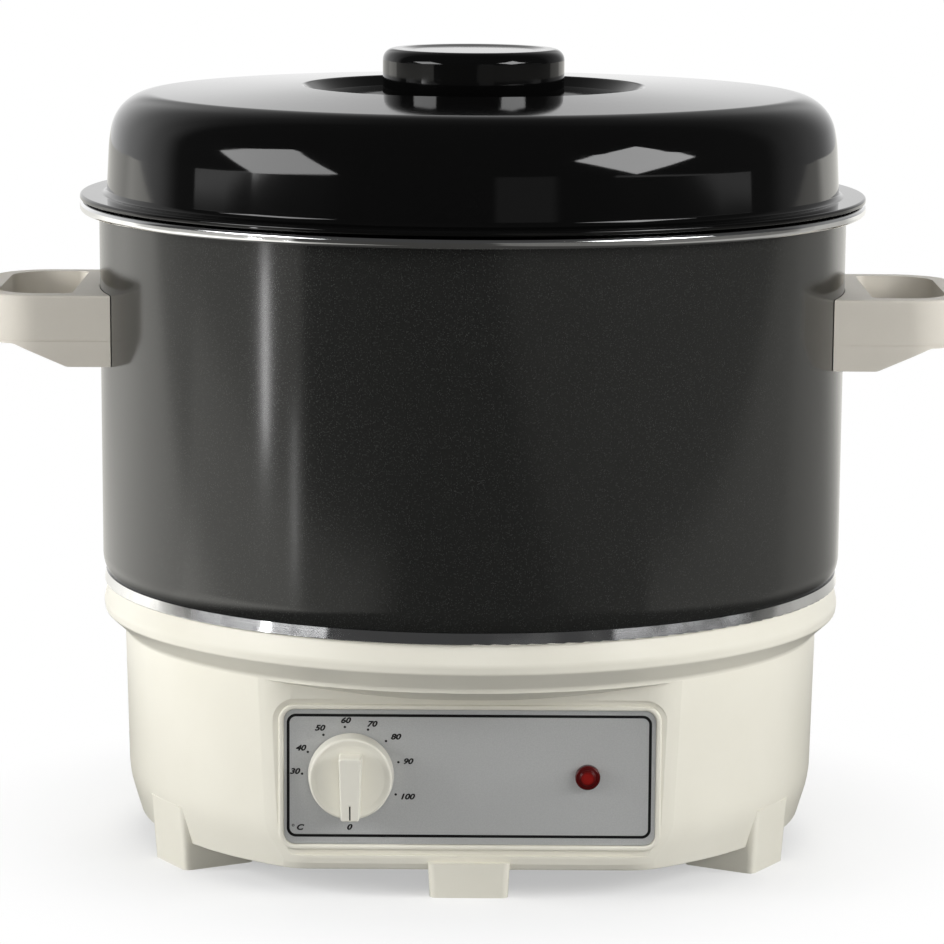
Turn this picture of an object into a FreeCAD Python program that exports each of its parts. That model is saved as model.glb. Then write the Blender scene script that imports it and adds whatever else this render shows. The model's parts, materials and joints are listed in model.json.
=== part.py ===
import FreeCAD, Part
import math
import os

from FreeCAD import Matrix, Placement, Rotation, Vector

os.makedirs("parts", exist_ok=True)

# Electric wax melting pot: an enamelled steel water pot on a moulded base with a thermostat.
# Millimetres, +Z up, front towards -Y, origin on the floor under the middle of the pot.

# ---- enamelled pot ----
POT_R = 175.0               # outside radius at the top of the wall
POT_TAPER = 0.8             # the wall is this much narrower at the pot's bottom
POT_WALL = 1.2
POT_BOTTOM_Z = 119.0        # underside of the pot above the floor
POT_HEIGHT = 182.2          # underside to the top of the rolled rim
POT_CORNER = 17.0           # outside radius of the bottom corner
RIM_BEAD = 2.8              # height of the rolled rim
RIM_REACH = 7.8             # how far the rolled rim stands out of the wall

# ---- bright rings ----
RING_SHEET = 1.0
RING_GAP = 0.1              # clearance of the rim ring over the rolled rim
RING_TOP_LIP = 6.0
RING_LOW_LIP = 4.6
RING_BEVEL = 1.2            # outer edges of the rim ring
BAND_HEIGHT = 5.2
BAND_SHEET = 0.8
BAND_GAP = 0.1
BAND_FLARE = 0.7            # the band is wider at its foot

# ---- lid ----
LID_WALL = 2.5
LID_SEAT = 0.2              # lid flange over the rim ring
LID_FIT = 1.9               # clearance of the bell's foot inside the pot
LID_FLANGE = 2.4
LID_TAPER = 2.8             # the bell is this much narrower at its shoulder
LID_RISE = 48.3             # seat of the flange to the shoulder line
LID_CROWN = 4.1             # shoulder line to the lip of the finger recess
LID_SHOULDER = 21.5
LID_FOOT_FILLET = 2.5
LID_LIP_R = 79.8            # edge of the finger recess
LID_LIP_ROUND = 2.5
RECESS_BANK = 5.8           # the foot of the recess's steep edge lies this far inside the lip
RECESS_EDGE = 4.6           # height of that edge
RECESS_DEPTH = 9.6          # lip to the flat seat of the knob
RECESS_SEAT_R = 33.0
LID_SKIRT = 6.0             # locating skirt below the flange

# ---- lid knob ----
KNOB_R = 42.5
KNOB_RISE = 17.1            # top of the knob over the lip of the recess
KNOB_THICK = 21.7
KNOB_TOP_ROUND = 7.5
KNOB_LOW_ROUND = 7.0
KNOB_DISH = 0.8
KNOB_RIM = 1.0              # flat ring round the dished top
KNOB_NECK_R = 27.0
KNOB_NECK_WALL = 3.5
KNOB_BOSS_R = 8.0
LID_SCREW_R = 2.5
LID_SCREW_HEAD_R = 4.8
LID_SCREW_HEAD = 3.2
LID_SCREW_LENGTH = 20.0
LID_WASHER_R = 9.0
LID_WASHER = 1.2
SCREW_CLEAR = 0.3           # radial clearance of a screw in a plain hole
THREAD_GAP = 0.05           # radial gap where a thread is drawn plain

# ---- moulded base ----
BASE_WALL = 2.8
RIM_Z = 12.2                # lower rim of the base above the floor
POT_SINK = 3.3              # how deep the pot stands in the collar
COLLAR_SET = 0.3            # collar's widest line inside the foot of the pot's wall
COLLAR_LEAN = 2.0           # collar's top inside its widest line
COLLAR_BULGE = 9.4          # from the collar's top down to its widest line
COLLAR_EDGE = 13.3          # from the collar's top down to its lower edge
COLLAR_DROP = 21.8          # from the collar's top down to the plain wall
COLLAR_OVERHANG = 9.9       # collar's widest line outside the top of the plain wall
WALL_TAPER = 1.8
WALL_KNEE_Z = 30.0
WALL_KNEE_ROUND = 45.0
RIM_TUCK = 5.4              # lower rim inside the foot of the plain wall
FLAT_CUT = 26.0             # how deep the flat front is cut into the round wall
FLAT_FOOT_Z = 18.0          # the flat front turns in below this height
FLAT_TURN = 2.4
BROW_DROP = 23.4            # from the collar's top down to the edge over the flat front
BROW_SLOPE = 0.337
FLAT_BLEND = 28.0           # rounding between flat front and round wall
BLEND_OVER = 0.06           # the rounding leaves the wall this far outside it
RIB_COUNT = 6
RIB_WIDTH = 3.0
RIB_DEPTH = 11.2            # ribs reach in this far from the foot of the wall
RIB_SEAT = 0.3              # ribs stop just under the pot

# ---- feet ----
FOOT_COUNT = 6
FOOT_WIDTH = 33.4           # width at its root
FOOT_TAPER = 1.6            # each side narrows by half of this down to the floor
FOOT_ROOT_Z = 30.0
FOOT_SET = 0.4              # root of a foot inside the foot of the wall
FOOT_LEAN = 2.2             # sole inside the root
FOOT_LENGTH = 37.8
FOOT_ROUND = 3.0
FOOT_SOLE = 3.0
FRONT_FOOT_WIDTH = 36.8
FRONT_FOOT_TOP = 16.0
FRONT_FOOT_PROUD = 2.2

# ---- control panel ----
PANEL_WIDTH = 166.1
PANEL_HEIGHT = 61.5
PANEL_X = 0.15
PANEL_Z = 54.75
PANEL_SHEET = 0.8
PANEL_CORNER = 5.0
PANEL_GAP = 0.2             # side clearance of the plate in its pocket
PANEL_SINK = 1.4            # plate's front behind the bead's front
BEAD_WIDTH = 2.3
BEAD_BACK = 0.2             # bead's front behind the flat front
BEAD_ROUND = 0.9
GROOVE_WIDTH = 2.6
GROOVE_DEPTH = 1.5
PANEL_BACKING = 3.0         # moulding left behind the plate

# ---- thermostat ----
DIAL_X = -52.94
DIAL_Z = 55.78
STAT_WIDTH = 36.0
STAT_HEIGHT = 32.0
STAT_DEPTH = 26.0
SPINDLE_R = 3.0
SPINDLE_FLAT = 2.2          # axis to the flat of the spindle
SPINDLE_RUN = 0.05          # running fit of the spindle in its bush
SPINDLE_HOLE = 1.0          # clearance of the spindle in panel and base
STAT_SCREW_PITCH = 25.0
STAT_SCREW_R = 1.9
STAT_SCREW_HEAD_R = 3.4
STAT_SCREW_HEAD = 1.7
STAT_SCREW_BITE = 6.0
DIAL_R = 19.3
DIAL_FACE_R = 18.4
DIAL_SKIRT = 9.0
DIAL_WALL = 1.8
DIAL_OFF = 1.0              # running gap of the knob over the panel
DIAL_DISH = 1.6
DIAL_HUB_R = 6.0
GRIP_HEIGHT = 9.5           # grip bar in front of the skirt's rim
GRIP_UP = 11.7
GRIP_DOWN = 17.4
GRIP_UP_WIDTH = 10.8
GRIP_DOWN_WIDTH = 8.8
GRIP_ROUND = 1.2
MARK_WIDTH = 0.7
MARK_LENGTH = 8.0
MARK_DEPTH = 0.4
BULB_R = 3.1
BULB_LENGTH = 90.0
BULB_SET = 8.0              # bulb's axis outside the heat shield
BULB_GAP = 0.2
CAPILLARY_R = 0.9
CLIP_SHEET = 0.8
CLIP_WIDTH = 12.0

# ---- pilot lamp ----
LAMP_X = 52.8
LAMP_Z = 55.5
LENS_R = 5.1
LENS_FLANGE = 1.2
LENS_DOME = 3.2
LENS_STEM_R = 3.9
LENS_STEM_WALL = 0.9
LENS_STEM = 12.0
LAMP_HOLE_GAP = 0.2
LAMP_BODY_R = 6.0
LAMP_BODY = 18.0
NEON_R = 2.4
NEON_LENGTH = 11.0

# ---- heater ----
HEAT_PLATE_SET = 45.2       # edge of the plate inside the flat of the pot's bottom
HEAT_PLATE = 4.0
ELEMENT_SET = 27.0          # element's ring inside the edge of the plate
ELEMENT_R = 4.1
ELEMENT_FLAT = 1.0          # the tube is pressed flat by this much where it meets the plate
ELEMENT_GAP = 24.0          # degrees left open at the front
ELEMENT_BEND = 10.0
ELEMENT_DROP = 12.0         # straight tail below the bend
TERMINAL_R = 3.0
TERMINAL_BEAD = 5.0
TAB_WIDTH = 6.3
TAB_SHEET = 0.8
TAB_LENGTH = 8.0
STUD_COUNT = 3
STUD_SET = 14.0             # studs inside the vent slots
STUD_R = 2.5
STUD_LENGTH = 28.0
BRIDGE_SHEET = 1.5
BRIDGE_GAP = 0.05           # bridge under the round of the element
BRIDGE_IN = 10.0            # bridge's inner edge inside the studs
BRIDGE_OUT = 11.0           # bridge's outer edge outside the element's ring
NUT_FLATS = 8.0
NUT_HEIGHT = 4.0
SHIELD_OVER = 6.0           # shield wider than the plate
SHIELD_SHEET = 1.0
SHIELD_RIM = 7.0
ROD_FLATS = 9.0
CUTOUT_R = 8.0
CUTOUT_HEIGHT = 7.0
CUTOUT_AZIMUTH = 205.0
CUTOUT_SET = 17.0           # cut-out outside the shield
EAR_LENGTH = 30.0
EAR_WIDTH = 10.0
EAR_SHEET = 1.0

# ---- bottom cover ----
COVER_SHEET = 1.0
COVER_GAP = 4.5             # edge of the cover inside the feet
COVER_LAP = 7.5             # the cover laps over the floor of the base
COVER_DISH_SET = 8.0        # dish inside the floor opening
COVER_DISH = 4.0
SLOT_COUNT = 18
SLOT_WIDTH = 4.0
SLOT_END = 10.0             # outer ends of the slots inside the dish
SLOT_LENGTH = 20.0
COVER_SCREW_COUNT = 3
COVER_SCREW_SET = 3.5       # screws inside the edge of the cover
COVER_SCREW_R = 1.6
COVER_SCREW_HEAD_R = 3.1
COVER_SCREW_HEAD = 2.2
COVER_SCREW_LENGTH = 10.0
BOSS_R = 3.8
ROD_SCREW_HEAD_R = 4.6
ROD_SCREW_HEAD = 3.0
ROD_SCREW_LENGTH = 12.0

# ---- mains inlet and wiring ----
INLET_Z = 45.0
INLET_PAD_R = 11.0
INLET_PAD_OUT = 2.4         # face of the pad outside the foot of the wall
INLET_PAD_BACK = 6.1
GLAND_R = 6.4
GLAND_FLANGE_R = 9.0
GLAND_FLANGE = 2.6
GLAND_BORE_R = 3.6
GLAND_LENGTH = 17.0
GLAND_NUT = 4.0
GLAND_HOLE_GAP = 0.2
BLOCK_AZIMUTH = 60.0
BLOCK_SET = 22.0            # terminal block outside the floor opening
BLOCK_LENGTH = 38.0
BLOCK_WIDTH = 16.0
BLOCK_HEIGHT = 16.0
BLOCK_WAYS = 3
BLOCK_BORE_R = 2.0
BLOCK_SCREW_R = 1.6
BLOCK_SCREW_HEAD_R = 2.8
BLOCK_SCREW_HEAD = 1.6
LEAD_R = 1.2
LAMP_LEAD_R = 147.0         # how far out the lamp's leads run
LEAD_GAP = 0.05             # a lead ends this far short of its blade
EARTH_TAG = 12.0

# ---- side handles ----
HANDLE_REACH = 54.0         # pot wall to the outer end of a handle
HANDLE_HALF = 55.0          # half of its width
HANDLE_DROP = 40.2          # top of a handle below the top of the pot
HANDLE_DEPTH = 33.0
GRIP_DEPTH = 22.5
HANDLE_CORNER = 28.0
HANDLE_BAR = 9.0
HANDLE_BLOCK = 9.5          # pot wall to the opening's inner side
BEVEL_SET = 1.9             # the bevel starts this far outside the opening's inner side
BEVEL_BACK = 18.0           # and ends this far inside the outer end
PARTING_DROP = 21.0         # mould parting line below the top
PARTING_STEP = 0.25
HANDLE_SEAT = 0.3           # handle face to the pot wall
HANDLE_EDGE = 1.2
LUG_HALF = 20.0
LUG_HEIGHT = 20.0
LUG_SHEET = 1.5
LUG_REACH = 7.2             # end of the lug's tab outside the pot wall
LUG_POCKET_GAP = 0.3
HANDLE_SCREW_Y = 12.0
HANDLE_SCREW_SET = 4.4      # handle's screws outside the pot wall
HANDLE_SCREW_R = 1.9
HANDLE_SCREW_HEAD_R = 2.9
HANDLE_SCREW_HEAD = 2.2
HANDLE_SCREW_SINK = 5.0

# ---- places that follow from the sizes above ----
POT_TOP_Z = POT_BOTTOM_Z + POT_HEIGHT
POT_LOW_R = POT_R - POT_TAPER
BEAD_LOW_Z = POT_TOP_Z - RIM_BEAD
RIM_R_OUT = POT_R + RIM_REACH
RING_R = RIM_R_OUT + RING_GAP + RING_SHEET
RING_TOP_Z = POT_TOP_Z + RING_GAP + RING_SHEET
RING_LOW_Z = BEAD_LOW_Z - RING_GAP - RING_SHEET
LID_Z = RING_TOP_Z + LID_SEAT
LID_FLANGE_R = RING_R
LID_LOW_R = POT_R - POT_WALL - LID_FIT
LID_TOP_R = LID_LOW_R - LID_TAPER
LID_SHOULDER_Z = LID_Z + LID_RISE
LID_LIP_Z = LID_SHOULDER_Z + LID_CROWN
RECESS_R = LID_LIP_R - RECESS_BANK
RECESS_Z = LID_LIP_Z - RECESS_DEPTH
KNOB_TOP_Z = LID_LIP_Z + KNOB_RISE
COLLAR_Z = POT_BOTTOM_Z + POT_SINK
COLLAR_R = POT_LOW_R - COLLAR_SET
COLLAR_TOP_R = COLLAR_R - COLLAR_LEAN
WALL_TOP_R = COLLAR_R - COLLAR_OVERHANG
WALL_LOW_R = WALL_TOP_R - WALL_TAPER
RIM_R = WALL_LOW_R - RIM_TUCK
FLAT_Y = WALL_TOP_R - FLAT_CUT
BROW_Z = COLLAR_Z - BROW_DROP
RIB_INNER_R = WALL_LOW_R - RIB_DEPTH
FOOT_ROOT_R = WALL_LOW_R - FOOT_SET
FOOT_SOLE_R = FOOT_ROOT_R - FOOT_LEAN
FOOT_INNER_R = FOOT_ROOT_R - FOOT_LENGTH
COVER_R = FOOT_INNER_R - COVER_GAP
COVER_SCREW_CIRCLE_R = COVER_R - COVER_SCREW_SET
FLOOR_OPENING_R = COVER_R - COVER_LAP
COVER_DISH_R = FLOOR_OPENING_R - COVER_DISH_SET
SLOT_OUTER_R = COVER_DISH_R - SLOT_END
SLOT_INNER_R = SLOT_OUTER_R - SLOT_LENGTH
STUD_CIRCLE_R = SLOT_INNER_R - STUD_SET
INLET_PAD_Y = WALL_LOW_R + INLET_PAD_OUT
BLOCK_CIRCLE_R = FLOOR_OPENING_R + BLOCK_SET
FLOOR_Z = RIM_Z + BASE_WALL
BEAD_FRONT = -FLAT_Y + BEAD_BACK
PLATE_FRONT = BEAD_FRONT + PANEL_SINK
PLATE_BACK = PLATE_FRONT + PANEL_SHEET
WALL_BACK = PLATE_BACK + PANEL_BACKING
DIAL_BACK = PLATE_FRONT - DIAL_OFF
DIAL_FRONT = DIAL_BACK - DIAL_SKIRT
HEAT_PLATE_R = POT_LOW_R - POT_CORNER - HEAT_PLATE_SET
ELEMENT_RING_R = HEAT_PLATE_R - ELEMENT_SET
BRIDGE_INNER_R = STUD_CIRCLE_R - BRIDGE_IN
BRIDGE_OUTER_R = ELEMENT_RING_R + BRIDGE_OUT
SHIELD_R = HEAT_PLATE_R + SHIELD_OVER
CUTOUT_CIRCLE_R = SHIELD_R + CUTOUT_SET
BULB_Y = -(SHIELD_R + BULB_SET)
PLATE_Z = POT_BOTTOM_Z - HEAT_PLATE
ELEMENT_Z = PLATE_Z - ELEMENT_R + ELEMENT_FLAT
BRIDGE_Z = ELEMENT_Z - ELEMENT_R - BRIDGE_GAP
NUT_Z = BRIDGE_Z - BRIDGE_SHEET
SHIELD_Z = NUT_Z - NUT_HEIGHT
ROD_Z = SHIELD_Z - SHIELD_SHEET
COVER_Z = RIM_Z - COVER_SHEET
DISH_Z = COVER_Z + COVER_DISH
HANDLE_END_X = POT_R + HANDLE_REACH
HANDLE_TOP_Z = POT_TOP_Z - HANDLE_DROP
HANDLE_LOW_Z = HANDLE_TOP_Z - HANDLE_DEPTH
BLOCK_FACE_X = POT_R + HANDLE_BLOCK
BEVEL_START_X = BLOCK_FACE_X + BEVEL_SET
BEVEL_END_X = HANDLE_END_X - BEVEL_BACK
LUG_TAB_X = POT_R + LUG_REACH
HANDLE_SCREW_X = POT_R + HANDLE_SCREW_SET
LUG_Z = HANDLE_TOP_Z - HANDLE_DEPTH / 2
ALL = 400.0                 # larger than the whole object


def in_plan(u, v):
    return Vector(u, v, 0)


def in_section(u, v):
    return Vector(u, 0, v)


def across(u, v):
    return Vector(0, u, v)


def corner_arc(before, point, after, radius):
    """Start, middle and end of the arc of this radius that is tangent to both sides."""
    back = (before - point).normalize()
    on = (after - point).normalize()
    half = back.getAngle(on) / 2
    bisector = (back + on).normalize()
    reach = radius / math.tan(half)
    middle = point + bisector * (radius / math.sin(half) - radius)
    return point + back * reach, middle, point + on * reach


def rounded_wire(corners, place=in_section):
    """Closed wire through corners (u, v, radius), each rounded by its own radius."""
    points = [place(u, v) for u, v, radius in corners]
    edges = []
    joints = []
    for i, (u, v, radius) in enumerate(corners):
        if radius > 0:
            start, middle, end = corner_arc(points[i - 1], points[i], points[(i + 1) % len(points)], radius)
            edges.append(Part.Arc(start, middle, end).toShape())
            joints.append((start, end))
        else:
            joints.append((points[i], points[i]))
    for i in range(len(points)):
        leave = joints[i - 1][1]
        enter = joints[i][0]
        if leave.distanceToPoint(enter) > 1e-4:
            edges.append(Part.LineSegment(leave, enter).toShape())
    return Part.Wire(Part.__sortEdges__(edges))


def revolved(corners, angle=360.0):
    """Solid of revolution about Z of a closed outline (r, z, radius)."""
    return Part.Face(rounded_wire(corners)).revolve(Vector(), Vector(0, 0, 1), angle)


def prism(corners, place, along):
    return Part.Face(rounded_wire(corners, place)).extrude(along)


def offset_chain(chain, gap):
    """Open chain (u, v, radius) moved by gap to the left of its direction, radii following."""
    sides = []
    for (u0, v0, _), (u1, v1, _) in zip(chain, chain[1:]):
        du, dv = u1 - u0, v1 - v0
        length = math.hypot(du, dv)
        sides.append((u0 - dv / length * gap, v0 + du / length * gap, du, dv))
    moved = [(sides[0][0], sides[0][1], 0)]
    for (ua, va, dua, dva), (ub, vb, dub, dvb), (_, _, radius) in zip(sides, sides[1:], chain[1:]):
        cross = dua * dvb - dva * dub
        t = ((ub - ua) * dvb - (vb - va) * dub) / cross
        rounding = radius - gap if cross > 0 else radius + gap
        moved.append((ua + dua * t, va + dva * t, max(rounding, 0) if radius > 0 else 0))
    u, v, du, dv = sides[-1]
    return moved + [(u + du, v + dv, 0)]


def block(x0, x1, y0, y1, z0, z1):
    return Part.makeBox(x1 - x0, y1 - y0, z1 - z0, Vector(x0, y0, z0))


def post(radius, z0, z1, x=0.0, y=0.0):
    return Part.makeCylinder(radius, z1 - z0, Vector(x, y, z0))


def rod_y(radius, y0, y1, x, z):
    return Part.makeCylinder(radius, y1 - y0, Vector(x, y0, z), Vector(0, 1, 0))


def hexagon(flats, z0, z1, x=0.0, y=0.0):
    """Hexagonal bar along Z, by its width across flats."""
    radius = flats / math.sqrt(3)
    corners = [(x + radius * math.cos(math.radians(a)), y + radius * math.sin(math.radians(a)), 0)
               for a in range(0, 360, 60)]
    return prism(corners, in_plan, Vector(0, 0, z1 - z0)).translated(Vector(0, 0, z0))


def turned(shape, degrees):
    """Copy of the shape turned about the Z axis."""
    copy = shape.copy()
    copy.rotate(Vector(), Vector(0, 0, 1), degrees)
    return copy


def ring_of(shape, count, first=0.0):
    """Copies of the shape, spread evenly about the Z axis."""
    return [turned(shape, first + 360.0 * i / count) for i in range(count)]


def joined(shapes):
    whole = shapes[0].multiFuse(shapes[1:]) if len(shapes) > 1 else shapes[0]
    return whole.removeSplitter()


def group(shapes):
    return Part.makeCompound(shapes)


def plan_rectangle(x0, x1, half, radius):
    return [(x0, -half, radius), (x1, -half, radius), (x1, half, radius), (x0, half, radius)]


def tube(points, radius, bend):
    """Round bar along straight runs with a tangent arc of radius bend at every turn."""
    edges = []
    last = points[0]
    for before, point, after in zip(points, points[1:], points[2:]):
        start, middle, end = corner_arc(before, point, after, bend)
        edges.append(Part.LineSegment(last, start).toShape())
        edges.append(Part.Arc(start, middle, end).toShape())
        last = end
    edges.append(Part.LineSegment(last, points[-1]).toShape())
    circle = Part.Circle(points[0], points[1] - points[0], radius)
    profile = Part.Wire(circle.toShape())
    return Part.Wire(edges).makePipeShell([profile], True, False)


def rim_point(radius, azimuth, z):
    angle = math.radians(azimuth)
    return Vector(radius * math.cos(angle), radius * math.sin(angle), z)


def pot_radius(z):
    """Outside radius of the pot at a height on its wall or its bottom corner."""
    lean = POT_TAPER / (BEAD_LOW_Z - POT_BOTTOM_Z)
    drop = POT_BOTTOM_Z + POT_CORNER - z
    if drop > 0:
        centre_r = POT_LOW_R + lean * POT_CORNER - POT_CORNER * math.hypot(1, lean)
        return centre_r + math.sqrt(max(POT_CORNER ** 2 - drop ** 2, 0))
    return POT_LOW_R + lean * (z - POT_BOTTOM_Z)


# ---------------------------------------------------------------- pot and bright rings

def pot():
    inner_low = POT_LOW_R - POT_WALL
    return revolved([
        (0, POT_BOTTOM_Z, 0),
        (POT_LOW_R, POT_BOTTOM_Z, POT_CORNER),
        (POT_R, BEAD_LOW_Z, 1.0),
        (RIM_R_OUT, BEAD_LOW_Z, RIM_BEAD * 0.4),
        (RIM_R_OUT, POT_TOP_Z, RIM_BEAD * 0.4),
        (POT_R - POT_WALL, POT_TOP_Z, RIM_BEAD * 0.5),
        (inner_low, POT_BOTTOM_Z + POT_WALL, POT_CORNER - POT_WALL),
        (0, POT_BOTTOM_Z + POT_WALL, 0),
    ])


def rim_ring():
    """Bright channel pressed over the rolled rim; its lips point at the wall."""
    inner_r = RIM_R_OUT + RING_GAP
    inner_bevel = RING_BEVEL - RING_SHEET * (2 - math.sqrt(2))
    top_in = RING_R - RING_TOP_LIP
    low_in = RING_R - RING_LOW_LIP
    roof = RING_TOP_Z - RING_SHEET
    floor = RING_LOW_Z + RING_SHEET
    return revolved([
        (low_in, RING_LOW_Z, 0),
        (RING_R - RING_BEVEL, RING_LOW_Z, 0),
        (RING_R, RING_LOW_Z + RING_BEVEL, 0),
        (RING_R, RING_TOP_Z - RING_BEVEL, 0),
        (RING_R - RING_BEVEL, RING_TOP_Z, 0),
        (top_in, RING_TOP_Z, 0),
        (top_in, roof, 0),
        (inner_r - inner_bevel, roof, 0),
        (inner_r, roof - inner_bevel, 0),
        (inner_r, floor + inner_bevel, 0),
        (inner_r - inner_bevel, floor, 0),
        (low_in, floor, 0),
    ])


def base_band():
    """Bright band round the foot of the pot, with a flange on the collar."""
    top = COLLAR_Z + BAND_HEIGHT
    top_r = pot_radius(top) + BAND_GAP + BAND_SHEET
    foot_r = top_r + BAND_FLARE
    flange_in = pot_radius(COLLAR_Z + BAND_SHEET) + BAND_GAP
    return revolved([
        (flange_in, COLLAR_Z, 0),
        (foot_r, COLLAR_Z, 0.5),
        (top_r, top, 0),
        (top_r - BAND_SHEET, top, 0),
        (foot_r - BAND_SHEET, COLLAR_Z + BAND_SHEET, 0),
        (flange_in, COLLAR_Z + BAND_SHEET, 0),
    ])


# ---------------------------------------------------------------- lid

def lid_radius(z):
    """Outside radius of the lid's bell at a height below its shoulder."""
    return LID_LOW_R - LID_TAPER * (z - LID_Z + LID_SKIRT) / (LID_RISE + LID_SKIRT)


def lid_shell():
    bell = [
        (0, RECESS_Z, 0),
        (RECESS_SEAT_R, RECESS_Z, 4.0),
        (RECESS_R, LID_LIP_Z - RECESS_EDGE, 1.0),
        (LID_LIP_R, LID_LIP_Z, LID_LIP_ROUND),
        (LID_TOP_R, LID_SHOULDER_Z, LID_SHOULDER),
        (LID_LOW_R, LID_Z - LID_SKIRT, 0),
    ]
    inside = offset_chain(bell, -LID_WALL)
    inside[-1] = (inside[-1][0], bell[-1][1], 0)
    flange_top = LID_Z + LID_FLANGE
    flange = [
        (lid_radius(flange_top), flange_top, LID_FOOT_FILLET),
        (LID_FLANGE_R, flange_top, 1.1),
        (LID_FLANGE_R, LID_Z, 0.5),
        (lid_radius(LID_Z), LID_Z, 0),
    ]
    whole = revolved(bell[:-1] + flange + bell[-1:] + inside[::-1])
    return whole.cut(post(LID_SCREW_R + SCREW_CLEAR, RECESS_Z - ALL, RECESS_Z + 1))


def lid_knob():
    low = KNOB_TOP_Z - KNOB_THICK
    neck_in = KNOB_NECK_R - KNOB_NECK_WALL
    roof = low + KNOB_THICK * 0.45
    bore = LID_SCREW_R + THREAD_GAP
    bore_top = RECESS_Z - LID_WALL - LID_WASHER + LID_SCREW_LENGTH + 1
    body = revolved([
        (bore, RECESS_Z, 0),
        (KNOB_BOSS_R, RECESS_Z, 0),
        (KNOB_BOSS_R, roof, 1.0),
        (neck_in, roof, 1.0),
        (neck_in, RECESS_Z, 0),
        (KNOB_NECK_R, RECESS_Z, 0),
        (KNOB_NECK_R, low, 2.0),
        (KNOB_R, low, KNOB_LOW_ROUND),
        (KNOB_R, KNOB_TOP_Z, KNOB_TOP_ROUND),
        (KNOB_R - KNOB_TOP_ROUND - KNOB_RIM, KNOB_TOP_Z, 3.0),
        (KNOB_R - KNOB_TOP_ROUND - KNOB_RIM - 6, KNOB_TOP_Z - KNOB_DISH, 8.0),
        (0, KNOB_TOP_Z - KNOB_DISH, 0),
        (0, bore_top, 0),
        (bore, bore_top, 0),
    ])
    return body


def lid_washer():
    top = RECESS_Z - LID_WALL
    washer = post(LID_WASHER_R, top - LID_WASHER, top)
    return washer.cut(post(LID_SCREW_R + SCREW_CLEAR, top - ALL, top + 1))


def screw(radius, length, head_r, head, slot=1.0):
    """Pan-head screw, thread along +Z from the seat of its head at the origin."""
    cap = revolved([(0, -head, 0), (head_r, -head, head * 0.6), (head_r, 0, 0), (0, 0, 0)])
    whole = joined([cap, post(radius, 0, length)])
    return whole.cut(block(-head_r, head_r, -slot / 2, slot / 2, -head - 1, -head * 0.5))


def lid_screw():
    seat = RECESS_Z - LID_WALL - LID_WASHER
    return screw(LID_SCREW_R, LID_SCREW_LENGTH, LID_SCREW_HEAD_R, LID_SCREW_HEAD).translated(
        Vector(0, 0, seat))


# ---------------------------------------------------------------- moulded base

def base_chain():
    """Outside of the round base from the collar's lip down to the floor opening."""
    lip_r = pot_radius(COLLAR_Z) + BAND_GAP * 3
    return [
        (lip_r, COLLAR_Z, 0),
        (COLLAR_TOP_R, COLLAR_Z, 1.0),
        (COLLAR_R, COLLAR_Z - COLLAR_BULGE, 6.0),
        (COLLAR_R - 0.5, COLLAR_Z - COLLAR_EDGE, 1.8),
        (WALL_TOP_R, COLLAR_Z - COLLAR_DROP, 3.0),
        (WALL_LOW_R, WALL_KNEE_Z, WALL_KNEE_ROUND),
        (RIM_R, RIM_Z, 0.8),
        (FLOOR_OPENING_R, RIM_Z, 0),
    ]


def wall_radius(z):
    """Outside radius of the round wall below the collar."""
    chain = base_chain()
    (r2, z2, _), (r1, z1, knee), (r0, z0, _) = chain[4:7]
    centre_r, centre_z, _ = offset_chain(chain, -knee)[5]
    upper_end = centre_z - knee * (r2 - r1) / math.hypot(r2 - r1, z2 - z1)
    lower_end = centre_z - knee * (r1 - r0) / math.hypot(r1 - r0, z1 - z0)
    if z > upper_end:
        return r1 + (r2 - r1) * (z - z1) / (z2 - z1)
    if z < lower_end:
        return r1 + (r0 - r1) * (z1 - z) / (z1 - z0)
    return centre_r + math.sqrt(knee ** 2 - (z - centre_z) ** 2)


def under_brow(rise):
    """Everything below the shallow cone that forms the brow over the flat front."""
    brow = BROW_Z + rise
    return revolved([
        (0, -ALL, 0),
        (0, brow - WALL_TOP_R * BROW_SLOPE, 0),
        (WALL_TOP_R, brow, 0),
        (ALL, brow, 0),
        (ALL, -ALL, 0),
    ])


def flat_section(z):
    """Plan of the space in front of the flat front at one height, rounded into the wall."""
    turn = max(0.0, (FLAT_FOOT_Z - z) / (FLAT_FOOT_Z - RIM_Z))
    flat = -FLAT_Y + FLAT_TURN * min(turn, 1.5) ** 2
    wall = wall_radius(z) + BLEND_OVER
    centre_x = math.sqrt((wall - FLAT_BLEND) ** 2 - (flat + FLAT_BLEND) ** 2)
    centre = Vector(centre_x, flat + FLAT_BLEND, z)
    out = Vector(centre_x, flat + FLAT_BLEND, 0).normalize()
    half = (out + Vector(0, -1, 0)).normalize()
    start = centre + Vector(0, -FLAT_BLEND, 0)
    end = centre + out * FLAT_BLEND
    leave = end + Vector(-out.y, out.x, 0) * 60
    right = [start, centre + half * FLAT_BLEND, end, leave, Vector(leave.x, -ALL, z)]
    left = [Vector(-v.x, v.y, v.z) for v in right]
    edges = [
        Part.LineSegment(left[0], right[0]).toShape(),
        Part.Arc(right[0], right[1], right[2]).toShape(),
        Part.LineSegment(right[2], right[3]).toShape(),
        Part.LineSegment(right[3], right[4]).toShape(),
        Part.LineSegment(right[4], left[4]).toShape(),
        Part.LineSegment(left[4], left[3]).toShape(),
        Part.LineSegment(left[3], left[2]).toShape(),
        Part.Arc(left[2], left[1], left[0]).toShape(),
    ]
    return Part.Wire(edges)


def flat_cutter():
    """Space in front of the flat front, with its rounded ends, up to the brow."""
    knee = [WALL_KNEE_Z + step for step in (-8, -5, -2, 1, 4, 7)]
    heights = [RIM_Z - 1, RIM_Z + 0.8, RIM_Z + 3, FLAT_FOOT_Z] + knee + [BROW_Z + 3]
    space = Part.makeLoft([flat_section(z) for z in heights], True, True)
    return space.common(under_brow(0))


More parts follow.
